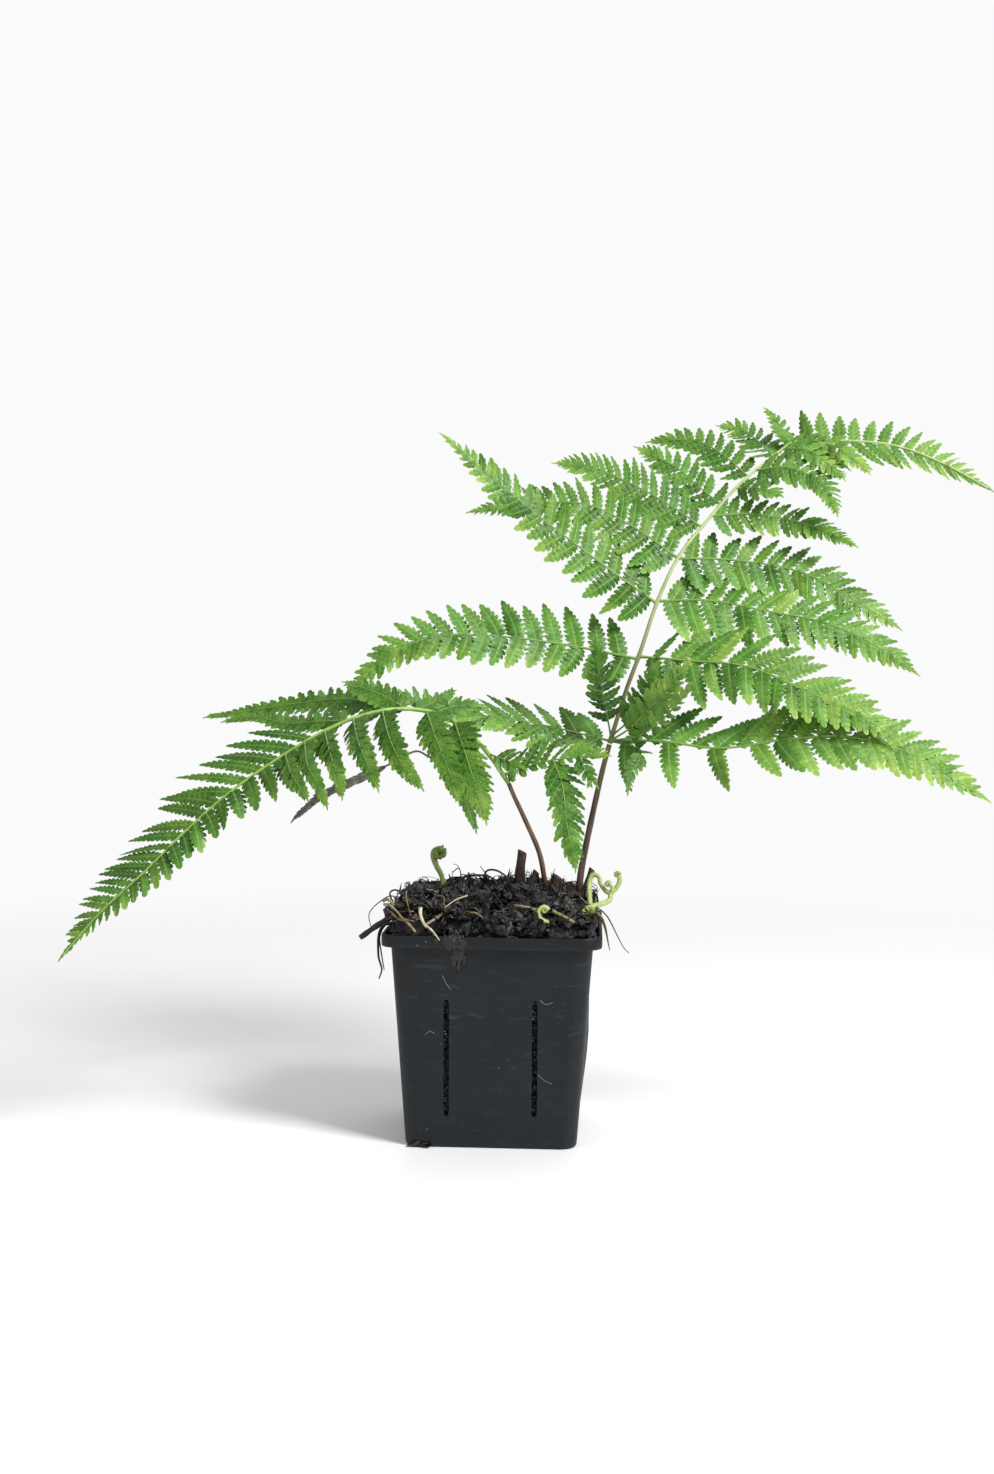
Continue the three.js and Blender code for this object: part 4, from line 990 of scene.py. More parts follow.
def add_wet_lumps(shape, rng):
    """Smooth wet clods at the front of the mound, and a few dropped at the pot's foot."""
    for _ in range(WET_LUMPS):
        x, y = rng.normal(6, 12), rng.uniform(-37.5, -12)
        corners, faces = any_lump(3, 0.7, rng)
        size = np.array((rng.uniform(2.4, 5.4), rng.uniform(1.8, 3.4), rng.uniform(1.2, 2.4)))
        spot = (x, y, float(mound_height(x, y)) - 0.7 - 1.2 * max(0, abs(y) - 34))
        shape.add((corners * size) @ turned(rng).T + spot, [faces], tint=(WET, 0, rng.random()))
    for spot in FOOT_CLODS:
        corners, faces = any_lump(2, 0.8, rng)
        size = rng.uniform(0.7, 1.5, 3) * (1.6, 0.9, 0.6)
        shape.add(corners * size + spot, [faces], tint=(0.5, 0, 0.5))


def crumbs(looks, rng):
    """The loose soil: on the mound, on the rim, in the slots and at the pot's foot."""
    shape = Shape()
    scatter_crumbs(shape, rng)
    smear_rim(shape, rng)
    fill_slots(shape, rng)
    add_wet_lumps(shape, rng)
    shape.piece("soil_crumbs", looks["soil"], sharp=50)


def add_flake(shape, spot, length, rng):
    """A thin curled flake of bark that lies on the soil."""
    corners, faces = any_lump(2, 0.4, rng)
    corners = corners * (length, length * rng.uniform(0.25, 0.6), rng.uniform(0.15, 0.35))
    curl, cup = rng.uniform(-0.12, 0.16) / length, rng.normal(0, 0.12)
    corners[:, 2] += curl * corners[:, 0] ** 2 + cup * corners[:, 1] ** 2
    lie = Matrix.Rotation(rng.uniform(0, 6.3), 3, "Z") @ Matrix.Rotation(rng.normal(0, 0.55), 3, "Y")
    lie = lie @ Matrix.Rotation(rng.normal(0, 0.5), 3, "X")
    shape.add(corners @ np.array(lie).T + spot, [faces], tint=(rng.random(), 1, rng.random()))


FIBRES, FIBRE_POINTS = 330, 12
MOUND_HALF = 38                  # how far out the fibres lie
PALE_SHARE = 0.05
DARK_ROOTED = 3.0                # how much deeper the dark roots start than their first point


def lying_fibre(index, rng):
    """Places along a thin root that lies on the mound or arches a little above it."""
    x, y, _ = mound_spot(rng, edge=0.3)
    heading = rng.uniform(0, 2 * math.pi)
    length = rng.uniform(4, 16)
    arch = rng.uniform(0.2, 1) ** 3 * 4
    curve = rng.normal(0, 1.2)
    places = []
    for t in np.linspace(0, 1, FIBRE_POINTS):
        bearing = heading + curve * t
        px = np.clip(x + math.cos(bearing) * length * t, -MOUND_HALF, MOUND_HALF)
        py = np.clip(y + math.sin(bearing) * length * t, -MOUND_HALF, MOUND_HALF)
        lift = arch * math.sin(math.pi * t) + 0.4 * noise.noise(Vector((px, py, index)))
        places.append((px, py, float(mound_height(px, py)) + lift))
    return places


def fibres(looks, rng):
    """Fine roots and bark fibres: they lie on the mound, stand up from it or hang over the rim."""
    dark, pale, lint = Shape(), Shape(), Shape()
    for index in range(FIBRES):
        places = lying_fibre(index, rng)
        radius = rng.uniform(0.1, 0.42)
        kind = pale if rng.random() < PALE_SHARE else dark
        radii = np.linspace(radius, radius * 0.4, FIBRE_POINTS)
        add_tube(kind, places, radii, sides=4, tint=any_tint(rng))
    for mid_x, mid_y, count, spread_out, height in TUFTS:
        for _ in range(count):
            x, y = np.array((mid_x, mid_y)) + rng.normal(0, spread_out, 2)
            add_blade_of_fibre(dark, np.array((x, y, mound_height(x, y) - 1)), height, rng)
    by_hand = (DARK_ROOTS, dark, DARK_ROOTED), (TAN_ROOTS, pale, 0), (DUST_HAIRS, lint, 0)
    for routes, kind, deeper in by_hand:
        for ((x, y, z), *rest), radii in routes:
            add_stalk(kind, [(x, y, z - deeper), *rest], radii, sides=7, tint=any_tint(rng), flat=0.6)
    dark.piece("dark_roots", looks["root"])
    pale.piece("pale_roots", looks["straw"])
    lint.piece("lint", looks["lint"])


def add_blade_of_fibre(shape, foot, height, rng):
    """A stiff pointed fibre that stands up from the soil."""
    height = height * rng.uniform(0.5, 1.2)
    heading = rng.uniform(0, 2 * math.pi)
    lean = np.array((math.cos(heading), math.sin(heading), 0)) * rng.uniform(0, 0.9)
    steps = np.linspace(0, 1, 8)
    bend = steps[:, None] ** 1.7 * lean * height
    places = foot + steps[:, None] * height * (0, 0, 1) + bend
    radii = rng.uniform(0.3, 0.95) * (1 - steps**1.5 * 0.93)
    tint = (rng.uniform(0, 0.6), 0, rng.random())
    add_tube(shape, places, radii, sides=5, tint=tint, flat=0.4)


# The crown and the small growth

CROWN_OVAL = 0.7
CROWN_FIBRES = 240
MAT_TOP = (0, 0.8, 1.05), (91.2, 90.4, 86)     # the height of the mat of fibres, by how far out


def crown_rings():
    """Rings up the stump, which is oval, ridged all round and rough."""
    turn = np.linspace(0, 2 * math.pi, 72, endpoint=False)
    ridge = 1 + 0.05 * np.sin(turn * 23 + 2 * np.sin(turn * 3)) + 0.05 * np.sin(turn * 7 + 1) - 0.06
    rings = []
    for rise in np.linspace(0, 1, 18):
        wide = np.interp(rise, (0, 0.45, 0.8, 1), (0.75, 1, 0.9, 0.62)) * CROWN_RADIUS
        height = CROWN_FOOT[2] + (CROWN_TOP[2] - CROWN_FOOT[2]) * rise
        spots = [Vector((math.cos(angle) * 6, math.sin(angle) * 6, height)) for angle in turn]
        rough = np.array([0.5 * noise.noise(spot) for spot in spots])
        reach = wide * ridge + rough
        rings.append(np.stack([CROWN_TOP[0] + np.cos(turn) * reach,
                               CROWN_TOP[1] + CROWN_OVAL * np.sin(turn) * reach,
                               height + rough], -1))
    return rings


def add_mat_fibre(shape, rng):
    """A short thin fibre of the mat that covers the crown."""
    angle, out = rng.uniform(0, 2 * math.pi), rng.uniform(0.2, 1.05)
    heading = np.array((math.cos(angle), math.sin(angle), 0))
    x, y, _ = heading * CROWN_RADIUS * 0.8 * out
    base = np.array((CROWN_TOP[0] + x, CROWN_TOP[1] + y * CROWN_OVAL, np.interp(out, *MAT_TOP) - 1.2))
    lean = heading * rng.uniform(-0.2, 0.6)
    height = rng.uniform(1.5, 5.5)
    steps = np.linspace(0, 1, 5)[:, None]
    bend = rng.normal(0, 0.6, 3) * (1, 1, 0.3)
    places = base + steps * (lean + (0, 0, 1)) * height + steps**2 * bend
    radii = np.linspace(rng.uniform(0.12, 0.35), 0.05, 5)
    add_tube(shape, places, radii, sides=4, tint=(rng.uniform(0, 0.5), 0, rng.random()))


def crown(looks, rng):
    """The short upright stem: a fibrous stump, the stubs of old stipes and a mat of fibres."""
    shape = Shape()
    shape.add(*loft(crown_rings()), tint=(0.2, 0, 0.5))
    for points, radius in STUBS:
        add_stub(shape, points, radius)
    for _ in range(CROWN_FIBRES):
        add_mat_fibre(shape, rng)
    piece = shape.piece("crown_fine", looks["bark"], sharp=50)
    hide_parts("crown")


STUB_RINGS, STUB_SIDES = 24, 20
STUB_HOLLOW = [(1.0, 0.72), (0.985, 0.62), (0.93, 0.5), (0.86, 0.2)]    # share along, and width


def add_stub(shape, points, radius):
    """The stump of an old stipe: a ribbed stalk, cut across its top and hollow there."""
    path = Path(points)
    share = np.linspace(0, 1, STUB_RINGS)
    wide = np.interp(share, (0, 1), (1.15, 0.85)) * (1 + 0.05 * np.sin(share * 14))
    share = np.append(share, [along for along, _ in STUB_HOLLOW])
    wide = np.append(wide, [width for _, width in STUB_HOLLOW])
    turn = np.linspace(0, 2 * math.pi, STUB_SIDES, endpoint=False)
    cos, sin = np.cos(turn)[:, None], np.sin(turn)[:, None]
    frames = carried_frames(path.at(np.linspace(0, 1, len(share))))
    ribbed = (1 + 0.05 * np.cos(turn * 6) + 0.03 * np.cos(turn * 11 + 1))[:, None]
    slant = 0.35 * cos * radius
    rings = []
    for s, width, first, second in zip(share, wide, *frames):
        ring = path.at(s) + width * radius * ribbed * (cos * first + sin * second)
        rings.append(ring + path.along(s) * slant * (s > 0.8))
    corners, faces = loft(rings)
    tint = np.full_like(corners, 0.5)
    tint[:, 0] = 0.45
    # The hollow at the cut top is painted darker, darkest at its middle: painted shade inside the hollow.
    tint[STUB_RINGS * STUB_SIDES:-2, 0] = 0.1
    tint[-1, 0] = 0.05
    shape.add(corners, faces, tint=tint)


def stipe(side, points, looks):
    """A frond's brown stalk, ribbed along its length and swollen at its foot."""
    path = Path(points)
    share = np.linspace(0, 1, 110)
    swell = 0.12 * np.exp(-((share * path.length - 5) / 3) ** 2)
    radii = np.interp(share, (0, 1), STIPE_RADII[side]) * (1 + swell + 0.02 * np.sin(share * 40))
    tint = (0.75 if side == "left" else 0.35, 0, 0.5)
    shape = Shape()
    add_tube(shape, path.at(share), radii, sides=14, tint=tint, ridges=5, ridge=0.035)
    piece = shape.piece(f"stipe_{side}_fine", looks["stipe"])
    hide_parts(f"stipe_{side}")


def coil(centre, radius, turns, start, upward=(0, 0, 1)):
    """Points of a flat spiral from its outer end to its middle."""
    share = np.linspace(0, 1, 40)[:, None]
    angle = start + share * turns * 2 * math.pi
    reach = radius * (1 - 0.8 * share)
    return np.array(centre) + reach * (np.cos(angle) * (1, 0, 0) + np.sin(angle) * upward)


def crozier(name, parts, looks, heads=(), tone=0.5):
    """A young curled frond: its stalks, and its coiled heads with rows of leaf buds."""
    shape = Shape()
    rng = np.random.default_rng(SEED + len(name))
    for points, radii in parts:
        add_stalk(shape, points, radii, step=0.45, sides=12, tint=(tone, 0, 0.5), ridges=2, ridge=0.12)
        add_down(shape, Path(points), max(radii), tone, rng)
    for places, thick in heads:
        radii = thick * np.linspace(1, 0.55, len(places))
        add_tube(shape, places, radii * (1 + 0.16 * np.sin(np.arange(len(places)) * 1.9)), sides=12,
                 tint=(tone - 0.25, 0, 0.5), ridges=2, ridge=0.14)
    piece = shape.piece(f"{name}_fine", looks["young"])
    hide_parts(name)


DOWN_LENGTH, DOWN_RADII = 0.55, (0.05, 0.04, 0.02)


def add_down(shape, path, reach, tone, rng):
    """Short pale hairs that stand out from a young stalk."""
    outward, onward = np.array(((0, 0), (0.5, 0.1), (1, 0.3))).T[..., None]
    for share in rng.uniform(0, 1, round(path.length * 5)):
        stand = stand_at(path, share, rng.normal(size=3))
        hair = stand.out * outward * DOWN_LENGTH + stand.along * onward
        places = stand.place + stand.out * reach * 0.9 + hair
        add_tube(shape, places, DOWN_RADII, sides=3, tint=(tone + 0.4, 0, 0.5))


def croziers(looks):
    crozier("crozier_left", [CROZIER_LEFT], looks, tone=0.3, heads=[
        (coil((-21.9, 1.0, 104.0), 1.7, 1.6, 0.4), 1.3),
        (coil((-21.2, 2.8, 104.3), 1.5, 1.3, 1.2), 1.2),
    ])
    crozier("crozier_centre", [CROZIER_CENTRE], looks, heads=[
        (coil((19.3, -39.3, 88.6), 1.1, 1.4, 0.3), 0.55),
    ])
    crozier("crozier_right", CROZIER_RIGHT, looks, heads=[
        (coil((42, -9.7, 94.6), 1.0, 1.3, 0.5), 0.6),
        (coil((45.4, -8, 98), 0.9, 1.3, 0.2), 0.7),
        (coil((35.6, -24, 87), 1.3, 1.3, 2.4, upward=(0, -0.5, 0.86)), 0.95),
    ])


def add_strand(name, points, radii, look, slot, tone, flat, rng):
    """A ribbed strand, as thick as its radii at either end and a little wavy between."""
    path = Path(points)
    share = np.linspace(0, 1, 40)
    wide = np.interp(share, (0, 1), radii) * (1 + 0.08 * np.sin(share * 23))
    shape = Shape()
    add_tube(shape, path.at(share), wide, sides=10, tint=(tone, 0, rng.random()), ridges=5,
             ridge=0.06, flat=flat)
    piece = shape.piece(f"{name}_fine", look, sharp=60)
    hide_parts(name)


def litter(looks, rng):
    """The dark twig over the rim and the dry strands on the soil."""
    add_strand("twig", *TWIG, looks["bark"], "bark", 0.25, 0.9, rng)
    for name, (points, radii) in STRAWS.items():
        slender = np.array(radii) * STRAW_THIN
        add_strand(name, points, slender, looks["straw"], "straw", 0.6, 0.4, rng)


# Materials

def rgb(code):
    """A colour written as on the web, in linear light."""
    shares = [int(code[k:k + 2], 16) / 255 for k in (1, 3, 5)]
    return (*[s / 12.92 if s <= 0.04045 else ((s + 0.055) / 1.055) ** 2.4 for s in shares], 1.0)


class Value:
    """A number or colour all over a surface. Reckoning with it adds to its material's nodes."""

    def __init__(self, look, socket):
        self.look = look
        self.socket = socket

    def __add__(self, other):
        return self.look.math("ADD", self, other)

    def __sub__(self, other):
        return self.look.math("SUBTRACT", self, other)

    def __rsub__(self, other):
        return self.look.math("SUBTRACT", other, self)

    def __mul__(self, other):
        return self.look.math("MULTIPLY", self, other)

    def __truediv__(self, other):
        return self.look.math("DIVIDE", self, other)

    def __pow__(self, other):
        return self.look.math("POWER", self, other)

    def __abs__(self):
        return self.look.math("ABSOLUTE", self)


class Look:
    """A material's nodes, with short calls for the kinds used here."""

    def __init__(self, name, **settings):
        self.material = bpy.data.materials.new(name)
        self.material.use_nodes = True
        self.nodes = self.material.node_tree.nodes
        self.links = self.material.node_tree.links
        self.shader = self.nodes["Principled BSDF"]
        for socket, value in settings.items():
            self.shader.inputs[socket.replace("_", " ")].default_value = value
        self.place = self.value("ShaderNodeTexCoord", {}, "Object")

    def feed(self, socket, value):
        if isinstance(value, Value):
            self.links.new(value.socket, socket)
        elif isinstance(value, bpy.types.NodeSocket):
            self.links.new(value, socket)
        else:
            socket.default_value = value

    def node(self, kind, inputs, **settings):
        node = self.nodes.new(kind)
        for name, value in settings.items():
            setattr(node, name, value)
        for key, value in inputs.items():
            self.feed(node.inputs[key], value)
        return node

    def value(self, kind, inputs, output=0, **settings):
        return Value(self, self.node(kind, inputs, **settings).outputs[output])

    def math(self, operation, *values, clamp=False):
        return self.value("ShaderNodeMath", dict(enumerate(values)), operation=operation, use_clamp=clamp)

    def parts(self, vector):
        node = self.node("ShaderNodeSeparateXYZ", {0: vector})
        return [Value(self, output) for output in node.outputs]

    def attribute(self, name):
        """The three parts of what Shape wrote under that name."""
        return self.parts(self.value("ShaderNodeAttribute", {}, "Vector", attribute_name=name))

    def stretched(self, x, y, z):
        return self.value("ShaderNodeMapping", {"Vector": self.place, "Scale": (x, y, z)})

    def noise(self, scale, detail=4.0, roughness=0.55, vector=None, distortion=0.0):
        return self.value("ShaderNodeTexNoise", {
            "Vector": vector or self.place, "Scale": scale, "Detail": detail, "Roughness": roughness,
            "Distortion": distortion,
        })

    def cells(self, scale):
        """Distance from the nearest of many scattered points."""
        return self.value("ShaderNodeTexVoronoi", {"Vector": self.place, "Scale": scale})

    def ramp(self, value, *stops):
        """Colour or grey by value; stops are pairs of place and colour code or grey."""
        node = self.node("ShaderNodeValToRGB", {0: value})
        band = node.color_ramp.elements
        while len(band) < len(stops):
            band.new(1.0)
        for element, (position, shade) in zip(band, stops):
            element.position = position
            element.color = rgb(shade) if isinstance(shade, str) else (shade, shade, shade, 1)
        return Value(self, node.outputs[0])

    def mix(self, share, one, two):
        node = self.node("ShaderNodeMix", {0: share}, data_type="RGBA")
        for socket, value in ((node.inputs[6], one), (node.inputs[7], two)):
            self.feed(socket, rgb(value) if isinstance(value, str) else value)
        return Value(self, node.outputs[2])

    def painted(self, colour, *coats):
        """The colour under coats of others, each a pair of its share and its colour."""
        for share, coat in coats:
            colour = self.mix(share, colour, coat)
        return colour

    def bump(self, height, distance, strength):
        return self.value("ShaderNodeBump", {
            "Height": height, "Distance": distance * MM, "Strength": strength,
        })

    def wear(self, **inputs):
        """Feeds the shader's sockets and gives the finished material."""
        for socket, value in inputs.items():
            self.feed(self.shader.inputs[socket.replace("_", " ")], value)
        return self.material

    def blend(self, share, other):
        """Puts another shader over this one, by that share of it."""
        both = self.node("ShaderNodeMixShader", {0: share, 1: self.shader.outputs[0], 2: other})
        self.links.new(both.outputs[0], self.nodes["Material Output"].inputs["Surface"])
        return self.material


def near_line(look, value, half_width):
    """1 on the middle of each repeat of value, falling to 0 that far from it."""
    off = abs(look.math("FRACT", value) - 0.5)
    return look.math("SUBTRACT", 1.0, off / half_width, clamp=True)


def leaf_look():
    """Green by tone, with pale veins towards each tooth and a pale midrib, and lit through."""
    look = Look("leaf", Specular_IOR_Level=0.4)
    across, phase, along = look.attribute("grain")
    tone, under, draw = look.attribute("tint")
    side = abs(across)
    patch = look.noise(170.0, 5, 0.6)
    light = tone + (patch - 0.5) * 0.95 + along**2.0 * 0.22 + side**3.0 * 0.1
    green = look.ramp(light, (0.0, "#2a5210"), (0.3, "#44771c"), (0.6, "#689a36"), (1.0, "#a0c254"))
    vein = near_line(look, phase + 0.45 - side * 0.5, 0.16) * (1.0 - side**2.0)
    midrib = look.math("SUBTRACT", 1.0, side / 0.13, clamp=True)
    colour = look.painted(green, (vein * 0.28, "#8fb463"), (midrib * 0.48, "#a3c074"),
                          (under * 0.3, "#8aa866"))
    colour = look.value("ShaderNodeHueSaturation", {"Hue": draw * 0.018 + 0.491, "Color": colour})
    height = vein * -0.7 + midrib * -0.8 + look.noise(1500.0, 3) * 0.35
    gloss = look.ramp(look.noise(240.0, 3), (0.3, 0.33), (0.7, 0.55))
    look.wear(Base_Color=colour, Roughness=gloss, Normal=look.bump(height, 0.16, 0.8))
    through = look.node("ShaderNodeBsdfTranslucent", {"Color": look.mix(0.35, colour, "#a8d23c")})
    return look.blend(0.26, through.outputs[0])


def rib_look():
    """Green ribs, and a paler rachis that is brown low down on the right frond."""
    look = Look("rib", Roughness=0.45)
    tone, rachis, _ = look.attribute("tint")
    x, _, z = look.parts(look.place)
    streak = look.noise(300.0, 4, vector=look.stretched(1.0, 1.0, 0.12))
    green = look.ramp(tone + streak * 0.3, (0.3, "#557f2c"), (1.0, "#93b25c"))
    on_right = look.ramp(x, (0.02, 0.0), (0.035, 1.0))
    pale = look.mix(on_right, look.ramp(streak, (0.3, "#74983a"), (0.7, "#93b656")),
                    look.ramp(streak, (0.3, "#93a968"), (0.7, "#b9c68c")))
    brown = look.ramp(z, (0.17, 1.0), (0.215, 0.0)) * on_right * (rachis * 0.85)
    colour = look.painted(green, (rachis * 0.9, pale), (brown, "#5b5130"))
    return look.wear(Base_Color=colour, Normal=look.bump(streak, 0.1, 0.5))


def stipe_look():
    """Streaked brown, nearly black at the foot and greener towards the rachis."""
    look = Look("stipe", Roughness=0.5)
    tone = look.attribute("tint")[0]
    height = look.parts(look.place)[2]
    streak = look.noise(420.0, 6, 0.65, vector=look.stretched(1.0, 1.0, 0.06))
    brown = look.ramp(streak * 0.75 + tone * 0.35,
                      (0.25, "#1d120b"), (0.5, "#4a3627"), (0.75, "#7b6149"), (0.95, "#a08a68"))
    foot = look.ramp(height, (0.086, 1.0), (0.1, 0.0))
    top = look.ramp(height, (0.124, 0.0), (0.15, 0.75))
    colour = look.painted(brown, (foot, "#120d0a"), (top, "#6e7143"))
    return look.wear(Base_Color=colour, Normal=look.bump(streak, 0.25, 0.7))


def pot_look():
    """Near-black plastic with dust, pale specks, scuffs and a soiled rim."""
    look = Look("pot_plastic", Specular_IOR_Level=0.26)
    height = look.parts(look.place)[2]
    black = look.mix(look.noise(35.0, 5), "#090c0f", "#151c21")
    dust = look.ramp(look.noise(700.0, 8, 0.7), (0.62, 0.0), (0.76, 0.5))
    speck = look.ramp(look.cells(380.0), (0.05, 1.0), (0.09, 0.0))
    rare = look.ramp(look.noise(95.0, 3), (0.6, 0.0), (0.68, 1.0))
    drag = look.noise(130.0, 7, 0.75, vector=look.stretched(0.5, 0.5, 2.4), distortion=1.5)
    scuff = look.ramp(drag, (0.56, 0.0), (0.76, 0.5))
    splash = look.ramp(look.noise(60.0, 6, 0.7), (0.52, 0.0), (0.7, 1.0))
    soiled = look.ramp(height, (0.052, 0.0), (0.0785, 0.9)) * splash
    colour = look.painted(black, (dust * 0.5, "#6d7172"), (speck * rare * 0.6, "#a8aaa6"),
                          (scuff * 0.5, "#585d5f"), (soiled, "#14110e"))
    drawn = look.noise(90.0, 5, 0.6, vector=look.stretched(1.0, 1.0, 0.15))
    rough = look.ramp(drawn, (0.3, 0.4), (0.7, 0.58))
    bump = look.bump(look.noise(2600.0, 3) * 0.35 + drawn, 0.12, 0.4)
    return look.wear(Base_Color=colour, Roughness=rough, Normal=bump)


def soil_look():
    """Wet black soil with brown flakes and pale specks that are part grit and part painted glints,
    glossiest where its tone says wet.
    """
    look = Look("soil", Specular_IOR_Level=0.5)
    tone, flaky, draw = look.attribute("tint")
    shade = look.noise(1400.0, 6, 0.7) * 0.7 + look.noise(130.0, 5) * 0.3
    black = look.ramp(shade, (0.35, "#000000"), (0.66, "#030303"), (0.94, "#100e0b"))
    # Pale specks in the colour: part grit, part painted glints of the wet soil.
    grit = look.ramp(look.cells(700.0), (0.1, 1.0), (0.16, 0.0))
    grit = grit * look.ramp(look.noise(160.0, 3), (0.6, 0.0), (0.64, 0.7))
    colour = look.painted(black, (flaky * draw**3.0 * 0.6, "#3a2b1e"), (grit, "#8f8d86"))
    rough = look.ramp(look.noise(260.0, 4), (0.4, 0.09), (0.62, 0.42))
    wet = look.math("SUBTRACT", tone, 1.0, clamp=True)
    rough = look.math("MAXIMUM", rough - wet * 0.25, 0.07)
    bump = look.bump(look.noise(900.0, 7, 0.7), 0.6, 0.8)
    return look.wear(Base_Color=colour, Roughness=rough, Normal=bump)


def fibre_look(name, stops, roughness, speckle=0.0):
    """Streaked plant fibre between colours, with dark spots where there is a speckle."""
    look = Look(name, Roughness=roughness)
    tone = look.attribute("tint")[0]
    streak = look.noise(900.0, 6, 0.65, vector=look.stretched(0.7, 0.7, 0.7))
    colour = look.ramp(streak * 0.5 + tone * 0.35 + look.noise(150.0, 3) * 0.4, *stops)
    if speckle:
        spots = look.ramp(look.noise(500.0, 5, 0.7), (0.58, 0.0), (0.66, speckle))
        colour = look.mix(spots, colour, "#1c1510")
    return look.wear(Base_Color=colour, Normal=look.bump(streak, 0.3, 0.8))


def young_look():
    """Pale green, mottled."""
    look = Look("young_leaf", Roughness=0.4)
    tone = look.attribute("tint")[0]
    streak = look.noise(500.0, 5)
    colour = look.ramp(streak * 0.5 + tone,
                       (0.2, "#456320"), (0.45, "#788f42"), (0.75, "#a3b26c"), (1.0, "#d0d4a8"))
    return look.wear(Base_Color=colour, Normal=look.bump(streak, 0.15, 0.5))


def make_looks():
    return {
        "leaf": leaf_look(),
        "rib": rib_look(),
        "stipe": stipe_look(),
        "pot": pot_look(),
        "soil": soil_look(),
        "bark": fibre_look("bark", [(0.2, "#0b0806"), (0.55, "#2a1d14"), (0.9, "#5d4733")], 0.6),
        "root": fibre_look("root", [(0.2, "#020202"), (0.72, "#0b0806"), (1.05, "#3b2d20")], 0.42),
        "straw": fibre_look("straw", [(0.35, "#3a2c17"), (0.6, "#86714a"), (0.92, "#e2dabc")], 0.5, 0.8),
        "lint": fibre_look("lint", [(0.2, "#6c6f70"), (0.6, "#8b8d8c"), (1.0, "#b3b4b0")], 0.7),
        "dead_leaf": fibre_look("dead_leaf", [(0.2, "#26241f"), (0.6, "#55534a"), (1.0, "#8b8a80")], 0.8),
        "young": young_look(),
    }


# Floor, light and camera

FLOOR_FADE = (0.3, 0.75)         # metres from the pot between which the floor fades away
AMBIENT = 0.45
BACKDROP = (0.96, 0.96, 0.965, 1)

# Lamps: name, place in metres, size and power
LAMP_TARGET = (0.02, 0.0, 0.13)
LAMPS = [
    ("key", (0.95, -0.75, 1.15), 0.45, 32),
    ("fill", (-1.1, -1.2, 0.7), 1.2, 5.5),
    ("top_back", (0.1, 0.7, 1.5), 0.9, 5),
]


def stage():
    """A pale floor that fades into the surround."""
    near, far = FLOOR_FADE
    bpy.ops.mesh.primitive_circle_add(vertices=96, radius=far, fill_type="NGON")
    floor = bpy.context.object
    floor.name = "floor"
    look = Look("floor", Base_Color=(0.9, 0.9, 0.905, 1), Roughness=0.42)
    reach = look.value("ShaderNodeVectorMath", {0: look.place}, "Value", operation="LENGTH")
    fade = look.value("ShaderNodeMapRange", {"Value": reach, "From Min": near, "From Max": far},
                      interpolation_type="SMOOTHSTEP")
    clear = look.node("ShaderNodeBsdfTransparent", {}).outputs[0]
    floor.data.materials.append(look.blend(fade, clear))


def surround():
    """An even white behind everything, which lights the part less than it shows."""
    world = bpy.data.worlds.new("surround")
    bpy.context.scene.world = world
    world.use_nodes = True
    nodes, links = world.node_tree.nodes, world.node_tree.links
    lit, seen = nodes["Background"], nodes.new("ShaderNodeBackground")
    lit.inputs["Color"].default_value = (1.0, 1.0, 1.0, 1)
    lit.inputs["Strength"].default_value = AMBIENT
    seen.inputs["Color"].default_value = BACKDROP
    choice = nodes.new("ShaderNodeMixShader")
    links.new(nodes.new("ShaderNodeLightPath").outputs["Is Camera Ray"], choice.inputs[0])
    links.new(lit.outputs[0], choice.inputs[1])
    links.new(seen.outputs[0], choice.inputs[2])
    links.new(choice.outputs[0], nodes["World Output"].inputs["Surface"])


def softbox(name, place, size, power):
    light = bpy.data.lights.new(name, "AREA")
    light.size, light.energy = size, power
    lamp = bpy.data.objects.new(name, light)
    lamp.location = place
    lamp.rotation_euler = (Vector(LAMP_TARGET) - Vector(place)).to_track_quat("-Z", "Y").to_euler()
    lamp.visible_camera = False
    bpy.context.scene.collection.objects.link(lamp)


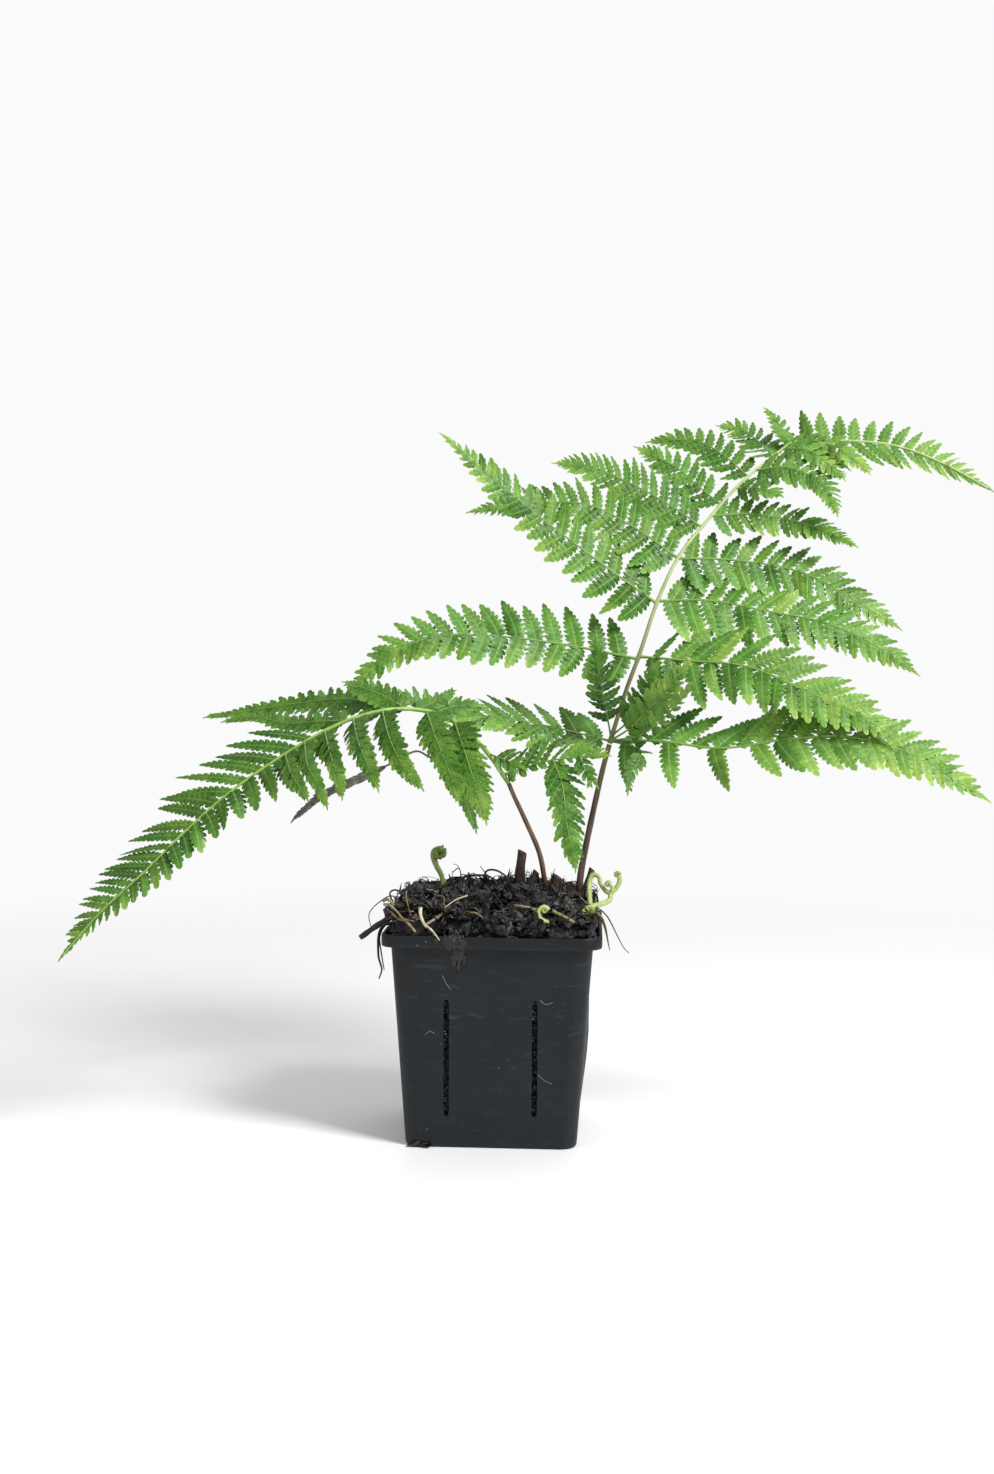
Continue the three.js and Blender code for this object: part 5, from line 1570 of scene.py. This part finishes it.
def camera():
    """The camera of the photograph, which looks at its target from a distance."""
    azimuth, elevation = math.radians(CAMERA_AZIMUTH), math.radians(CAMERA_ELEVATION)
    back = Vector((math.sin(azimuth) * math.cos(elevation),
                   -math.cos(azimuth) * math.cos(elevation), math.sin(elevation)))
    lens = bpy.data.cameras.new("camera")
    lens.lens = CAMERA_LENS
    eye = bpy.data.objects.new("camera", lens)
    eye.location = (Vector(CAMERA_TARGET) + back * CAMERA_DISTANCE) * MM
    level = (-back).to_track_quat("-Z", "Y").to_matrix()
    roll = Matrix.Rotation(math.radians(CAMERA_ROLL), 3, "Z")
    eye.rotation_euler = (level @ roll).to_euler()
    bpy.context.scene.collection.objects.link(eye)
    bpy.context.scene.camera = eye
    bpy.context.scene.view_settings.view_transform = "Standard"


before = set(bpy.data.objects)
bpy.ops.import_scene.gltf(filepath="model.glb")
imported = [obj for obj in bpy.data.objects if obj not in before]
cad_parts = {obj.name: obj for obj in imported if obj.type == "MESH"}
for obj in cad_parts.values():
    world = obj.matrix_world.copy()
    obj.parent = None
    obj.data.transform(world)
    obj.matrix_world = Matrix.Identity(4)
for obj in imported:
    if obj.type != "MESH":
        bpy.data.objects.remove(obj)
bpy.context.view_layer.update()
LOOKS = make_looks()
pot(LOOKS, np.random.default_rng(SEED))
soil(LOOKS)
crumbs(LOOKS, np.random.default_rng(SEED + 1))
fibres(LOOKS, np.random.default_rng(SEED + 2))
crown(LOOKS, np.random.default_rng(SEED + 3))
stipe("left", STIPE_LEFT, LOOKS)
stipe("right", STIPE_RIGHT, LOOKS)
frond("frond_left", RACHIS_LEFT, PINNAE_LEFT, APEX_LEFT, LOOKS, np.random.default_rng(SEED + 4))
frond("frond_right", RACHIS_RIGHT, PINNAE_RIGHT, APEX_RIGHT, LOOKS, np.random.default_rng(SEED + 5))
withered_pinna(LOOKS, np.random.default_rng(SEED + 6))
croziers(LOOKS)
litter(LOOKS, np.random.default_rng(SEED + 7))
stage()
surround()
for lamp_row in LAMPS:
    softbox(*lamp_row)
camera()
